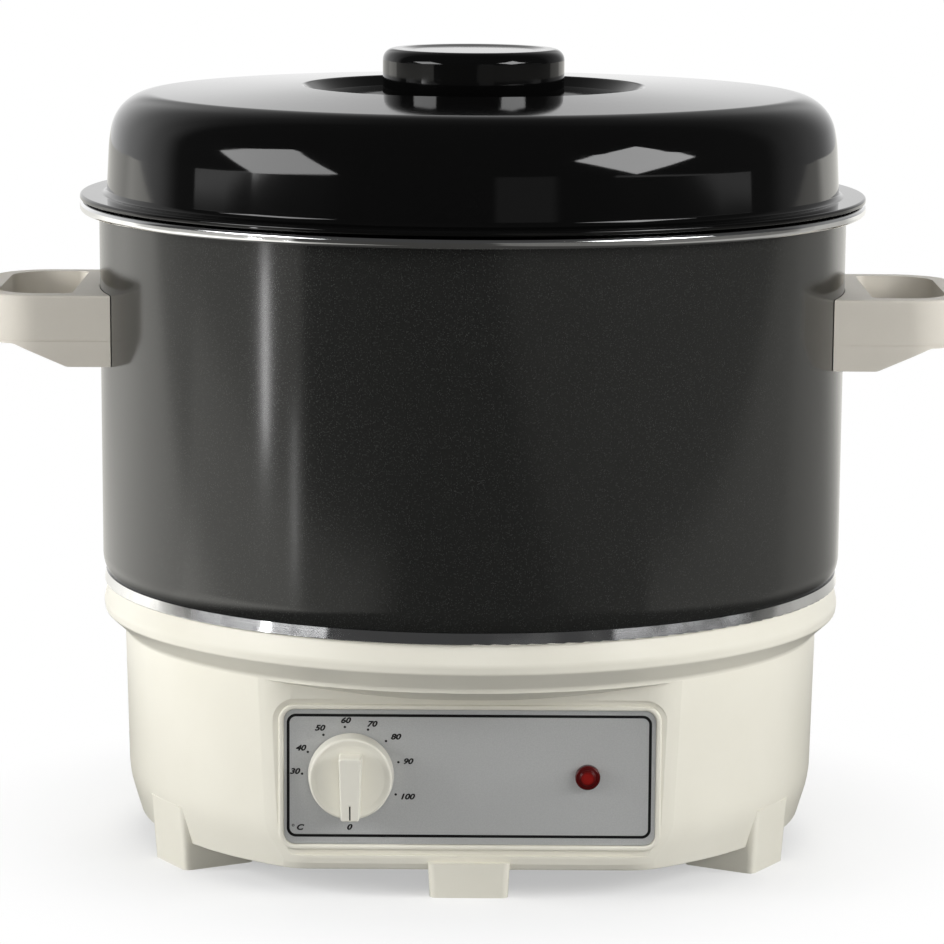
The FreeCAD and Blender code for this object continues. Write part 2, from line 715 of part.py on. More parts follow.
def flat_inner_cutter():
    slab = block(-ALL, ALL, -ALL, -FLAT_Y + BASE_WALL, -ALL, ALL)
    return slab.common(under_brow(BASE_WALL))


def foot_block(inset, sole, width, root_z, root_r, sole_r):
    """Tapered foot towards +X; inset and sole shrink it to its own pocket."""
    half = width / 2 - inset
    radius = max(FOOT_ROUND - inset, 0.4)
    share = sole / root_z
    root = plan_rectangle(FOOT_INNER_R + inset, root_r - inset, half, radius)
    low_r = sole_r + (root_r - sole_r) * share - inset
    low_half = half - FOOT_TAPER / 2 * (1 - share)
    low = plan_rectangle(FOOT_INNER_R + inset, low_r, low_half, radius)
    low_wire = rounded_wire(low, in_plan).translated(Vector(0, 0, sole))
    root_wire = rounded_wire(root, in_plan).translated(Vector(0, 0, root_z))
    return Part.makeLoft([low_wire, root_wire], True, True)


def feet(inset, sole):
    """All feet, the front one short and standing just proud of the flat front."""
    side = foot_block(inset, sole, FOOT_WIDTH, FOOT_ROOT_Z, FOOT_ROOT_R, FOOT_SOLE_R)
    front_r = FLAT_Y + FRONT_FOOT_PROUD
    front = foot_block(inset, sole, FRONT_FOOT_WIDTH, FRONT_FOOT_TOP, front_r, front_r - 0.8)
    first = 30.0
    blocks = []
    for i in range(FOOT_COUNT):
        azimuth = first + i * 360.0 / FOOT_COUNT
        blocks.append(turned(front if abs(azimuth - 270.0) < 1 else side, azimuth))
    return blocks


def panel_outline(grow, radius):
    half_w = PANEL_WIDTH / 2 + grow
    half_h = PANEL_HEIGHT / 2 + grow
    return [
        (PANEL_X - half_w, PANEL_Z - half_h, radius),
        (PANEL_X + half_w, PANEL_Z - half_h, radius),
        (PANEL_X + half_w, PANEL_Z + half_h, radius),
        (PANEL_X - half_w, PANEL_Z + half_h, radius),
    ]


def panel_prism(grow, y0, y1):
    outline = panel_outline(grow, PANEL_CORNER + grow)
    return prism(outline, in_section, Vector(0, y1 - y0, 0)).translated(Vector(0, y0, 0))


def bezel():
    """Rounded bead round the panel's pocket."""
    outer = PANEL_GAP + BEAD_WIDTH
    bead = panel_prism(outer, BEAD_FRONT, WALL_BACK).cut(
        panel_prism(PANEL_GAP, BEAD_FRONT - 1, PLATE_BACK))
    rim = [edge for edge in bead.Edges if edge.BoundBox.YMax < BEAD_FRONT + 0.01]
    return bead.makeFillet(BEAD_ROUND, rim)


def panel_holes(y0, y1, gap):
    """Round holes for the spindle, its screws and the pilot lamp."""
    half = STAT_SCREW_PITCH / 2
    return [
        rod_y(SPINDLE_R + SPINDLE_HOLE, y0, y1, DIAL_X, DIAL_Z),
        rod_y(STAT_SCREW_R + gap, y0, y1, DIAL_X - half, DIAL_Z),
        rod_y(STAT_SCREW_R + gap, y0, y1, DIAL_X + half, DIAL_Z),
        rod_y(LENS_STEM_R + LAMP_HOLE_GAP, y0, y1, LAMP_X, LAMP_Z),
    ]


def base_shell():
    chain = base_chain()
    outer = revolved([(0, COLLAR_Z, 0)] + chain + [(0, RIM_Z, 0)])
    outer = outer.cut(flat_cutter())
    inside = offset_chain(chain, -BASE_WALL)
    inside[0] = (chain[0][0], inside[0][1], 0)
    cavity = revolved([(0, COLLAR_Z + 1, 0), (chain[0][0], COLLAR_Z + 1, 0)] + inside[:-1]
                      + [(FLOOR_OPENING_R, FLOOR_Z, 0), (FLOOR_OPENING_R, RIM_Z - 1, 0), (0, RIM_Z - 1, 0)])
    cavity = cavity.cut(flat_inner_cutter())

    pad = panel_prism(PANEL_GAP + BEAD_WIDTH + GROOVE_WIDTH + BASE_WALL, -FLAT_Y, WALL_BACK)
    ribs = [block(RIB_INNER_R, ALL, -RIB_WIDTH / 2, RIB_WIDTH / 2, RIM_Z, POT_BOTTOM_Z - RIB_SEAT)]
    ribs = ring_of(ribs[0], RIB_COUNT)
    bosses = ring_of(post(BOSS_R, FLOOR_Z - 1, FLOOR_Z + COVER_SCREW_LENGTH, COVER_SCREW_CIRCLE_R),
                     COVER_SCREW_COUNT)
    inlet = rod_y(INLET_PAD_R, INLET_PAD_Y - INLET_PAD_BACK, INLET_PAD_Y, 0, INLET_Z)

    hollow = cavity.multiFuse(feet(BASE_WALL, FOOT_SOLE))
    body = outer.multiFuse(feet(0, 0)).cut(hollow)
    kept = [pad.common(outer)] + [rib.common(cavity) for rib in ribs]
    body = body.multiFuse(kept + bosses + [inlet])

    groove = panel_prism(PANEL_GAP + BEAD_WIDTH + GROOVE_WIDTH, -ALL, -FLAT_Y + GROOVE_DEPTH)
    groove = groove.cut(front_keep())
    body = body.cut(groove).fuse(bezel())
    pocket = panel_prism(PANEL_GAP, -ALL, PLATE_BACK)
    holes = panel_holes(-ALL, 0, SCREW_CLEAR)
    holes.append(rod_y(GLAND_R + GLAND_HOLE_GAP, 0, ALL, 0, INLET_Z))
    holes += ring_of(post(COVER_SCREW_R + THREAD_GAP, 0, FLOOR_Z + COVER_SCREW_LENGTH + 1,
                          COVER_SCREW_CIRCLE_R), COVER_SCREW_COUNT)
    return body.cut(group([pocket.cut(front_keep())])).cut(group(holes)).removeSplitter()


def front_keep():
    """Space over the brow, which the panel's cuts must not reach."""
    return block(-ALL, ALL, -ALL, 0, BROW_Z - BROW_SLOPE * 20, ALL)


# ---------------------------------------------------------------- control panel

def control_panel():
    plate = prism(panel_outline(0, PANEL_CORNER), in_section,
                  Vector(0, PANEL_SHEET, 0)).translated(Vector(0, PLATE_FRONT, 0))
    return plate.cut(group(panel_holes(PLATE_FRONT - 1, PLATE_BACK + 1, SCREW_CLEAR)))


def thermostat_body():
    """Capillary thermostat: case with a bush for its spindle and two terminal tabs."""
    front = WALL_BACK
    back = front + STAT_DEPTH
    half_w = STAT_WIDTH / 2
    half_h = STAT_HEIGHT / 2
    case = prism([
        (DIAL_X - half_w, DIAL_Z - half_h, 3.0),
        (DIAL_X + half_w, DIAL_Z - half_h, 3.0),
        (DIAL_X + half_w, DIAL_Z + half_h, 3.0),
        (DIAL_X - half_w, DIAL_Z + half_h, 3.0),
    ], in_section, Vector(0, STAT_DEPTH, 0)).translated(Vector(0, front, 0))
    tabs = [block(x - TAB_WIDTH / 2, x + TAB_WIDTH / 2, back - 1, back + TAB_LENGTH,
                  DIAL_Z - TAB_SHEET / 2, DIAL_Z + TAB_SHEET / 2) for x in stat_tabs()]
    bores = [rod_y(SPINDLE_R + SPINDLE_RUN, front - 1, front + STAT_DEPTH * 0.6, DIAL_X, DIAL_Z)]
    for side in (-0.5, 0.5):
        bores.append(rod_y(STAT_SCREW_R + THREAD_GAP, front - 1, front + STAT_SCREW_BITE + 1,
                           DIAL_X + side * STAT_SCREW_PITCH, DIAL_Z))
    return joined([case] + tabs).cut(group(bores))


def stat_tabs():
    return [DIAL_X - STAT_WIDTH / 4, DIAL_X + STAT_WIDTH / 4]


def thermostat_screws():
    shank = PLATE_BACK - PLATE_FRONT + PANEL_BACKING + STAT_SCREW_BITE
    one = screw(STAT_SCREW_R, shank, STAT_SCREW_HEAD_R, STAT_SCREW_HEAD)
    one.rotate(Vector(), Vector(1, 0, 0), -90)
    half = STAT_SCREW_PITCH / 2
    return group([one.translated(Vector(DIAL_X + side * half, PLATE_FRONT, DIAL_Z)) for side in (-1, 1)])


def spindle_bar(radius, flat, y0, y1):
    """Round bar whose front half has a flat on top."""
    bar = rod_y(radius, y0, y1, DIAL_X, DIAL_Z)
    above = block(DIAL_X - ALL, DIAL_X + ALL, y0 - 1, PLATE_FRONT, DIAL_Z + flat, DIAL_Z + ALL)
    return bar.cut(above)


def thermostat_spindle():
    return spindle_bar(SPINDLE_R, SPINDLE_FLAT, DIAL_FRONT - GRIP_HEIGHT / 2,
                       WALL_BACK + STAT_DEPTH * 0.6 - 1)


def thermostat_knob():
    """Skirted knob with a dished face and a tapered grip bar, built round the origin along -Y."""
    rim_z = DIAL_SKIRT
    cup = revolved([
        (0, 1.0, 0),
        (DIAL_HUB_R, 1.0, 0),
        (DIAL_HUB_R, rim_z - DIAL_DISH - DIAL_WALL, 0.8),
        (DIAL_R - DIAL_WALL, rim_z - DIAL_DISH - DIAL_WALL, 1.2),
        (DIAL_R - DIAL_WALL, 0, 0),
        (DIAL_R, 0, 0.3),
        (DIAL_FACE_R, rim_z, 1.0),
        (DIAL_FACE_R - 3.2, rim_z - DIAL_DISH * 0.5, 3.0),
        (0, rim_z - DIAL_DISH, 0),
    ])
    top = rim_z + GRIP_HEIGHT
    low_wire = rounded_wire(grip_outline(0), in_plan).translated(Vector(0, 0, rim_z - DIAL_DISH - 1))
    top_wire = rounded_wire(grip_outline(0.35), in_plan).translated(Vector(0, 0, top))
    grip = Part.makeLoft([low_wire, top_wire], True, True)
    crest = [edge for edge in grip.Edges if edge.BoundBox.ZMin > top - 0.01]
    grip = grip.makeFillet(GRIP_ROUND * 0.6, crest)
    mark = block(-MARK_WIDTH / 2, MARK_WIDTH / 2, -GRIP_DOWN - 1, -GRIP_DOWN + MARK_LENGTH,
                 top - MARK_DEPTH, top + 1)
    whole = joined([cup, grip]).cut(mark)
    placed = whole.copy()
    placed.rotate(Vector(), Vector(1, 0, 0), 90)
    placed.translate(Vector(DIAL_X, DIAL_BACK, DIAL_Z))
    bore_front = DIAL_FRONT - GRIP_HEIGHT / 2 - 0.5
    bore = spindle_bar(SPINDLE_R + THREAD_GAP, SPINDLE_FLAT + THREAD_GAP, bore_front, DIAL_BACK + 1)
    return placed.cut(bore)


def grip_outline(inset):
    """Plan of the grip bar, wide end up and pointer end down."""
    wide = GRIP_UP_WIDTH / 2 - inset
    narrow = GRIP_DOWN_WIDTH / 2 - inset
    return [
        (-narrow, -GRIP_DOWN + inset, GRIP_ROUND),
        (narrow, -GRIP_DOWN + inset, GRIP_ROUND),
        (wide, GRIP_UP - inset, GRIP_ROUND),
        (-wide, GRIP_UP - inset, GRIP_ROUND),
    ]


def bulb_z():
    return POT_BOTTOM_Z - BULB_R - BULB_GAP


def capillary():
    """Sensing bulb under the pot with its capillary from the thermostat."""
    bulb = Part.makeCylinder(BULB_R, BULB_LENGTH, Vector(-BULB_LENGTH / 2, BULB_Y, bulb_z()), Vector(1, 0, 0))
    x = DIAL_X - STAT_WIDTH / 4
    y = WALL_BACK + STAT_DEPTH / 2
    route = [
        Vector(x, y, DIAL_Z + STAT_HEIGHT / 2),
        Vector(x, y, DIAL_Z + STAT_HEIGHT / 2 + 20),
        Vector(-BULB_LENGTH / 2 - 28, BULB_Y, bulb_z() - 6),
        Vector(-BULB_LENGTH / 2 - 16, BULB_Y, bulb_z()),
        Vector(-BULB_LENGTH / 2 + 1, BULB_Y, bulb_z()),
    ]
    return joined([bulb, tube(route, CAPILLARY_R, 5.0)])


def bulb_clips():
    """Two strips welded under the pot, bent round the bulb."""
    reach = BULB_R + BULB_GAP
    outer = reach + CLIP_SHEET
    z = bulb_z()
    foot = 7.0
    strip = block(-CLIP_WIDTH / 2, CLIP_WIDTH / 2, BULB_Y - outer - foot, BULB_Y + outer + foot,
                  POT_BOTTOM_Z - CLIP_SHEET, POT_BOTTOM_Z)
    saddle = Part.makeCylinder(outer, CLIP_WIDTH, Vector(-CLIP_WIDTH / 2, BULB_Y, z), Vector(1, 0, 0))
    cheeks = block(-CLIP_WIDTH / 2, CLIP_WIDTH / 2, BULB_Y - outer, BULB_Y + outer, z, POT_BOTTOM_Z)
    core = Part.makeCylinder(reach, ALL, Vector(-ALL / 2, BULB_Y, z), Vector(1, 0, 0))
    gate = block(-ALL, ALL, BULB_Y - reach, BULB_Y + reach, z, ALL)
    clip = joined([strip, saddle, cheeks]).cut(group([core, gate]))
    clip = clip.common(block(-ALL, ALL, -ALL, ALL, 0, POT_BOTTOM_Z))
    return group([clip.translated(Vector(side * BULB_LENGTH * 0.3, 0, 0)) for side in (-1, 1)])


# ---------------------------------------------------------------- pilot lamp

def turn_front(shape, x, z):
    """Shape built along +Z from the origin, laid towards -Y on the panel's front."""
    laid = shape.copy()
    laid.rotate(Vector(), Vector(1, 0, 0), 90)
    laid.translate(Vector(x, PLATE_FRONT, z))
    return laid


def pilot_lens():
    stem_in = LENS_STEM_R - LENS_STEM_WALL
    lens = revolved([
        (stem_in, -LENS_STEM, 0),
        (LENS_STEM_R, -LENS_STEM, 0),
        (LENS_STEM_R, 0, 0),
        (LENS_R, 0, 0),
        (LENS_R, LENS_FLANGE, 0.4),
        (LENS_R * 0.82, LENS_FLANGE + LENS_DOME * 0.8, LENS_R * 0.35),
        (0, LENS_FLANGE + LENS_DOME, 0),
        (0, LENS_FLANGE, 0),
        (stem_in, LENS_FLANGE, 0),
    ])
    return turn_front(lens, LAMP_X, LAMP_Z)


def pilot_body():
    """Lamp holder behind the wall, with two tabs."""
    front = -(WALL_BACK - PLATE_FRONT)
    back = front - LAMP_BODY
    socket = revolved([
        (LENS_STEM_R + LAMP_HOLE_GAP, front, 0),
        (LAMP_BODY_R, front, 0),
        (LAMP_BODY_R, back, 0.8),
        (0, back, 0),
        (0, -LENS_STEM - 1.5, 0),
        (LENS_STEM_R + LAMP_HOLE_GAP, -LENS_STEM - 1.5, 0),
    ])
    tabs = [block(x - TAB_SHEET / 2, x + TAB_SHEET / 2, -TAB_WIDTH / 4, TAB_WIDTH / 4,
                  back - TAB_LENGTH, back + 0.5) for x in (-2.5, 2.5)]
    return turn_front(joined([socket] + tabs), LAMP_X, LAMP_Z)


def neon_lamp():
    """Glass glow lamp standing on the floor of its holder."""
    foot = -LENS_STEM - 1.5
    lamp = revolved([
        (0, foot, 0),
        (NEON_R, foot, 0),
        (NEON_R, foot + NEON_LENGTH, NEON_R * 0.7),
        (0, foot + NEON_LENGTH, 0),
    ])
    return turn_front(lamp, LAMP_X, LAMP_Z)


# ---------------------------------------------------------------- heater

def stud_places(first=90.0):
    return [rim_point(STUD_CIRCLE_R, first + i * 360.0 / STUD_COUNT, 0) for i in range(STUD_COUNT)]


def stud_holes(z0, z1):
    return group([post(STUD_R + SCREW_CLEAR, z0, z1, p.x, p.y) for p in stud_places()])


def heater_studs():
    return group([post(STUD_R, POT_BOTTOM_Z - STUD_LENGTH, POT_BOTTOM_Z, p.x, p.y) for p in stud_places()])


def heater_plate():
    plate = revolved([(0, PLATE_Z, 0), (HEAT_PLATE_R, PLATE_Z, 0.8), (HEAT_PLATE_R, POT_BOTTOM_Z, 0.8),
                      (0, POT_BOTTOM_Z, 0)])
    return plate.cut(stud_holes(PLATE_Z - 1, POT_BOTTOM_Z + 1))


def element_ends():
    """Azimuths of the two ends of the heating element."""
    return [270.0 + ELEMENT_GAP / 2, 270.0 - ELEMENT_GAP / 2]


def element_tail(side):
    """Quarter bend and straight tail at one end, built at azimuth 0 and leaving towards side."""
    start = Vector(ELEMENT_RING_R, 0, ELEMENT_Z)
    centre = start - Vector(0, 0, ELEMENT_BEND)
    slant = math.sqrt(0.5) * ELEMENT_BEND
    middle = centre + Vector(0, side * slant, slant)
    end = centre + Vector(0, side * ELEMENT_BEND, 0)
    path = Part.Wire([Part.Arc(start, middle, end).toShape(),
                      Part.LineSegment(end, end - Vector(0, 0, ELEMENT_DROP)).toShape()])
    circle = Part.Wire(Part.Circle(start, Vector(0, 1, 0), ELEMENT_R).toShape())
    return path.makePipeShell([circle], True, False)


def heating_element():
    """Tubular heater bent to an open ring, pressed flat against the plate."""
    first, last = element_ends()
    sweep = (last - first) % 360.0
    circle = Part.Circle(Vector(ELEMENT_RING_R, 0, ELEMENT_Z), Vector(0, 1, 0), ELEMENT_R)
    ring = Part.Face(Part.Wire(circle.toShape())).revolve(Vector(), Vector(0, 0, 1), sweep)
    whole = joined([turned(ring, first), turned(element_tail(-1), first), turned(element_tail(1), last)])
    return whole.cut(post(ALL, PLATE_Z, PLATE_Z + ELEMENT_R))


def tail_places():
    """Where the element's two tails end, in plan, with the azimuth of each."""
    turn = math.degrees(math.atan2(ELEMENT_BEND, ELEMENT_RING_R))
    radius = math.hypot(ELEMENT_RING_R, ELEMENT_BEND)
    first, last = element_ends()
    return [(rim_point(radius, first - turn, 0), first), (rim_point(radius, last + turn, 0), last)]


def tail_z():
    return ELEMENT_Z - ELEMENT_BEND - ELEMENT_DROP


def element_terminals():
    """Ceramic bead and blade at the end of each tail."""
    pieces = []
    for place, azimuth in tail_places():
        bead = post(TERMINAL_R, tail_z() - TERMINAL_BEAD, tail_z(), place.x, place.y)
        low = tail_z() - TERMINAL_BEAD
        blade = block(-TAB_WIDTH / 2, TAB_WIDTH / 2, -TAB_SHEET / 2, TAB_SHEET / 2, low - TAB_LENGTH, low + 1)
        pieces.append(joined([bead, blade.translated(place)]))
    return group(pieces)


def heater_bridge():
    """Pressed ring that clamps the element against the plate."""
    ring = revolved([
        (BRIDGE_INNER_R, BRIDGE_Z - BRIDGE_SHEET, 0),
        (BRIDGE_OUTER_R, BRIDGE_Z - BRIDGE_SHEET, 0),
        (BRIDGE_OUTER_R, BRIDGE_Z, 0.5),
        (BRIDGE_INNER_R, BRIDGE_Z, 0.5),
    ])
    return ring.cut(stud_holes(0, BRIDGE_Z + 1)).cut(tail_slot())


def tail_slot():
    """Gap at the front that the element's tails pass through."""
    reach = tail_places()[0][0]
    half = abs(reach.x) + ELEMENT_R + 3
    return block(-half, half, -ALL, -ELEMENT_RING_R + ELEMENT_R * 3, 0, POT_BOTTOM_Z - 1)


def heater_nuts():
    hole = STUD_R + THREAD_GAP
    nuts = [hexagon(NUT_FLATS, NUT_Z - NUT_HEIGHT, NUT_Z, p.x, p.y).cut(post(hole, 0, ALL, p.x, p.y))
            for p in stud_places()]
    return group(nuts)


def heat_shield():
    """Shallow dish that keeps the heat off the moulded base."""
    low = SHIELD_Z - SHIELD_SHEET
    chain = [(0, low, 0), (SHIELD_R, low, 3.0), (SHIELD_R, low + SHIELD_RIM, 0)]
    inside = offset_chain(chain, SHIELD_SHEET)
    dish = revolved(chain + inside[::-1])
    tails = [post(ELEMENT_R + 1.0, 0, ALL, place.x, place.y) for place, _ in tail_places()]
    return dish.cut(stud_holes(0, ALL)).cut(group(tails))


def tie_rods():
    """Hexagonal rods screwed on the studs; the bottom cover is pulled up on them."""
    low = DISH_Z + COVER_SHEET
    rods = []
    for p in stud_places():
        rod = hexagon(ROD_FLATS, low, ROD_Z, p.x, p.y)
        upper = post(STUD_R + THREAD_GAP, POT_BOTTOM_Z - STUD_LENGTH - 1, ROD_Z + 1, p.x, p.y)
        lower = post(STUD_R + THREAD_GAP, low - 1, low + ROD_SCREW_LENGTH, p.x, p.y)
        rods.append(rod.cut(group([upper, lower])))
    return group(rods)


def thermal_cutout():
    """Safety cut-out disc in a strip bracket under the pot."""
    top = POT_BOTTOM_Z
    bracket = block(-EAR_LENGTH / 2, EAR_LENGTH / 2, -EAR_WIDTH / 2, EAR_WIDTH / 2, top - EAR_SHEET, top)
    can = revolved([(0, top - EAR_SHEET - CUTOUT_HEIGHT, 0), (CUTOUT_R, top - EAR_SHEET - CUTOUT_HEIGHT, 1.0),
                    (CUTOUT_R, top - EAR_SHEET, 0), (0, top - EAR_SHEET, 0)])
    low = top - EAR_SHEET - CUTOUT_HEIGHT
    tabs = [block(x - TAB_SHEET / 2, x + TAB_SHEET / 2, -TAB_WIDTH / 2, TAB_WIDTH / 2,
                  low - TAB_LENGTH, low + 0.5) for x in (-4.0, 4.0)]
    whole = joined([bracket, can] + tabs).cut(
        group([post(STAT_SCREW_R, 0, ALL, side * EAR_LENGTH * 0.4) for side in (-1, 1)]))
    return cutout_place(whole)


def cutout_place(shape):
    return turned(shape.translated(Vector(CUTOUT_CIRCLE_R, 0, 0)), CUTOUT_AZIMUTH)


def cutout_screws():
    one = screw(STAT_SCREW_R - 0.1, EAR_SHEET, STAT_SCREW_HEAD_R - 0.6, STAT_SCREW_HEAD)
    seat = POT_BOTTOM_Z - EAR_SHEET
    return group([cutout_place(one.translated(Vector(side * EAR_LENGTH * 0.4, 0, seat))) for side in (-1, 1)])


# ---------------------------------------------------------------- bottom cover

def base_cover():
    """Dished steel bottom with radial vent slots."""
    chain = [
        (0, DISH_Z, 0),
        (COVER_DISH_R - COVER_DISH, DISH_Z, 2.0),
        (COVER_DISH_R, COVER_Z, 2.0),
        (COVER_R, COVER_Z, 0),
    ]
    inside = offset_chain(chain, COVER_SHEET)
    dish = revolved(chain + inside[::-1])
    slot = prism(plan_rectangle(SLOT_INNER_R, SLOT_OUTER_R, SLOT_WIDTH / 2, SLOT_WIDTH / 2 - 0.05),
                 in_plan, Vector(0, 0, ALL))
    holes = [post(STUD_R + SCREW_CLEAR, 0, ALL, p.x, p.y) for p in stud_places()]
    holes += ring_of(post(COVER_SCREW_R + SCREW_CLEAR, 0, ALL, COVER_SCREW_CIRCLE_R), COVER_SCREW_COUNT)
    return dish.cut(group(ring_of(slot, SLOT_COUNT) + holes))


def cover_screws():
    one = screw(COVER_SCREW_R, COVER_SCREW_LENGTH, COVER_SCREW_HEAD_R, COVER_SCREW_HEAD)
    return group(ring_of(one.translated(Vector(COVER_SCREW_CIRCLE_R, 0, COVER_Z)), COVER_SCREW_COUNT))


def rod_screws():
    one = screw(STUD_R, ROD_SCREW_LENGTH, ROD_SCREW_HEAD_R, ROD_SCREW_HEAD)
    return group([one.translated(Vector(p.x, p.y, DISH_Z)) for p in stud_places()])


# ---------------------------------------------------------------- mains inlet and wiring

def cord_gland():
    """Bush for a mains lead, through the rear wall."""
    front = INLET_PAD_Y + GLAND_FLANGE
    flange = rod_y(GLAND_FLANGE_R, INLET_PAD_Y, front, 0, INLET_Z)
    rim = [edge for edge in flange.Edges if edge.BoundBox.YMin > front - 0.01]
    flange = flange.makeFillet(1.0, rim)
    barrel = rod_y(GLAND_R, front - GLAND_LENGTH, front - 1, 0, INLET_Z)
    return joined([flange, barrel]).cut(rod_y(GLAND_BORE_R, 0, ALL, 0, INLET_Z))


def gland_nut():
    front = INLET_PAD_Y - INLET_PAD_BACK
    nut = hexagon(GLAND_FLANGE_R * 2, -GLAND_NUT, 0)
    nut = nut.cut(post(GLAND_R + THREAD_GAP, -ALL, ALL))
    nut.rotate(Vector(), Vector(1, 0, 0), -90)
    return nut.translated(Vector(0, front, INLET_Z))


def block_frame(shape):
    """Shape built round the origin, set on the base's floor with its length along the wall."""
    stood = turned(shape, 90.0).translated(Vector(BLOCK_CIRCLE_R, 0, FLOOR_Z))
    return turned(stood, BLOCK_AZIMUTH)


def way_places():
    pitch = BLOCK_LENGTH / (BLOCK_WAYS + 1)
    return [(i - (BLOCK_WAYS - 1) / 2) * pitch for i in range(BLOCK_WAYS)]


def terminal_block():
    """Three-way screw block; its bores run across it."""
    body = prism([
        (-BLOCK_WIDTH / 2, 0, 0),
        (BLOCK_WIDTH / 2, 0, 0),
        (BLOCK_WIDTH / 2, BLOCK_HEIGHT * 0.6, 1.0),
        (BLOCK_WIDTH / 4, BLOCK_HEIGHT, 1.0),
        (-BLOCK_WIDTH / 4, BLOCK_HEIGHT, 1.0),
        (-BLOCK_WIDTH / 2, BLOCK_HEIGHT * 0.6, 1.0),
    ], across, Vector(BLOCK_LENGTH, 0, 0)).translated(Vector(-BLOCK_LENGTH / 2, 0, 0))
    cuts = []
    for x in way_places():
        cuts.append(rod_y(BLOCK_BORE_R, -ALL, ALL, x, BLOCK_HEIGHT * 0.35))
        cuts.append(post(BLOCK_BORE_R + 0.4, BLOCK_HEIGHT * 0.55, ALL, x))
    for side in (-0.5, 0.5):
        cuts.append(post(BLOCK_SCREW_R + THREAD_GAP, -1, ALL, side * (BLOCK_LENGTH - 2 * BLOCK_SCREW_HEAD_R)))
    return block_frame(body.cut(group(cuts)))


def block_screws():
    one = screw(BLOCK_SCREW_R, BLOCK_HEIGHT, BLOCK_SCREW_HEAD_R, BLOCK_SCREW_HEAD)
    one.rotate(Vector(), Vector(1, 0, 0), 180)
    pieces = []
    for side in (-0.5, 0.5):
        x = side * (BLOCK_LENGTH - 2 * BLOCK_SCREW_HEAD_R)
        pieces.append(block_frame(one.translated(Vector(x, 0, BLOCK_HEIGHT))))
    return group(pieces)


def way_exit(way, side, reach):
    """Point on the axis of a way of the terminal block, on its inner or outer side."""
    place = Vector(way_places()[way], side * (BLOCK_WIDTH / 2 + reach), BLOCK_HEIGHT * 0.35)
    return block_frame(Part.Vertex(place)).Point


def stat_blade(side):
    return Vector(stat_tabs()[side], WALL_BACK + STAT_DEPTH + TAB_LENGTH + LEAD_GAP, DIAL_Z)


def lead_live():
    """From the terminal block across the base to the thermostat."""
    end = stat_blade(1)
    route = [way_exit(0, 1, -6), way_exit(0, 1, 8)]
    route += [rim_point(104.0, 20.0, 36.0), rim_point(96.0, -20.0, 50.0)]
    route += [Vector(end.x + 30, end.y + 22, DIAL_Z), Vector(end.x, end.y + 12, DIAL_Z), end]
    return tube(route, LEAD_R, 5.0)


def lead_switched():
    """From the thermostat up to the first tail of the element."""
    end = stat_blade(0)
    place = tail_places()[1][0]
    low = tail_z() - TERMINAL_BEAD - TAB_LENGTH
    route = [end, Vector(end.x, end.y + 10, DIAL_Z), Vector(end.x + 8, end.y + 14, DIAL_Z + 12),
             Vector(place.x, place.y, low - 12), Vector(place.x, place.y, low - LEAD_GAP)]
    return tube(route, LEAD_R, 4.0)


def lead_neutral():
    """From the terminal block across the base to the second tail of the element."""
    place = tail_places()[0][0]
    low = tail_z() - TERMINAL_BEAD - TAB_LENGTH
    route = [way_exit(1, 1, -6), way_exit(1, 1, 14)]
    route += [rim_point(90.0, 20.0, 56.0), rim_point(80.0, -40.0, 62.0)]
    route += [Vector(place.x, place.y, low - 14), Vector(place.x, place.y, low - LEAD_GAP)]
    return tube(route, LEAD_R, 5.0)


def lead_earth():
    """From the terminal block up to the tag under the pot."""
    tag = earth_place()
    low = POT_BOTTOM_Z - EARTH_TAG
    route = [way_exit(2, 1, -6), way_exit(2, 1, 8), Vector(tag.x, tag.y, low - 16),
             Vector(tag.x, tag.y, low - LEAD_GAP)]
    return tube(route, LEAD_R, 5.0)


def lamp_leads():
    """Two leads from the pilot lamp's tabs, along the wall to the outer side of the block."""
    back = PLATE_BACK + PANEL_BACKING + LAMP_BODY + TAB_LENGTH
    pair = []
    for side, way, lift in ((1, 0, 0.0), (-1, 1, 7.0)):
        x = LAMP_X + side * 2.5
        z = way_exit(way, -1, 0).z + lift
        last = 46.0 if side > 0 else 54.0
        route = [Vector(x, back + LEAD_GAP, LAMP_Z), Vector(x, back + 8 - side * 3, LAMP_Z),
                 rim_point(128.0 - side * 3, -34.0, LAMP_Z - 8), rim_point(143.0, -12.0, z + 6),
                 rim_point(LAMP_LEAD_R, 12.0, z), rim_point(LAMP_LEAD_R, 30.0, z),
                 rim_point(LAMP_LEAD_R, last, z), way_exit(way, -1, 5), way_exit(way, -1, -6)]
        pair.append(tube(route, LEAD_R * 0.8, 3.0))
    return group(pair)


def earth_place():
    return rim_point(CUTOUT_CIRCLE_R, 35.0, 0)


def earth_tag():
    """Strip welded under the pot, bent down to a blade."""
    foot = block(-6, 6, -TAB_WIDTH / 2, TAB_WIDTH / 2, POT_BOTTOM_Z - TAB_SHEET, POT_BOTTOM_Z)
    blade = block(-TAB_SHEET / 2, TAB_SHEET / 2, -TAB_WIDTH / 2, TAB_WIDTH / 2, POT_BOTTOM_Z - EARTH_TAG,
                  POT_BOTTOM_Z)
    return turned(joined([foot, blade]).translated(Vector(CUTOUT_CIRCLE_R, 0, 0)), 35.0)


# ---------------------------------------------------------------- side handles

def pot_envelope(gap, z0, z1):
    """The pot's outside between two heights, grown by gap."""
    low = max(z0, POT_BOTTOM_Z + POT_CORNER)
    return revolved([(0, low, 0), (pot_radius(low) + gap, low, 0), (pot_radius(z1) + gap, z1, 0), (0, z1, 0)])


def handle_plan(inset):
    """Outer plan of a handle; the inner side is cut to the pot."""
    half = HANDLE_HALF - inset
    reach = HANDLE_END_X - inset
    return [(POT_R * 0.85, -half, 0), (reach, -half, HANDLE_CORNER - inset),
            (reach, half, HANDLE_CORNER - inset), (POT_R * 0.85, half, 0)]


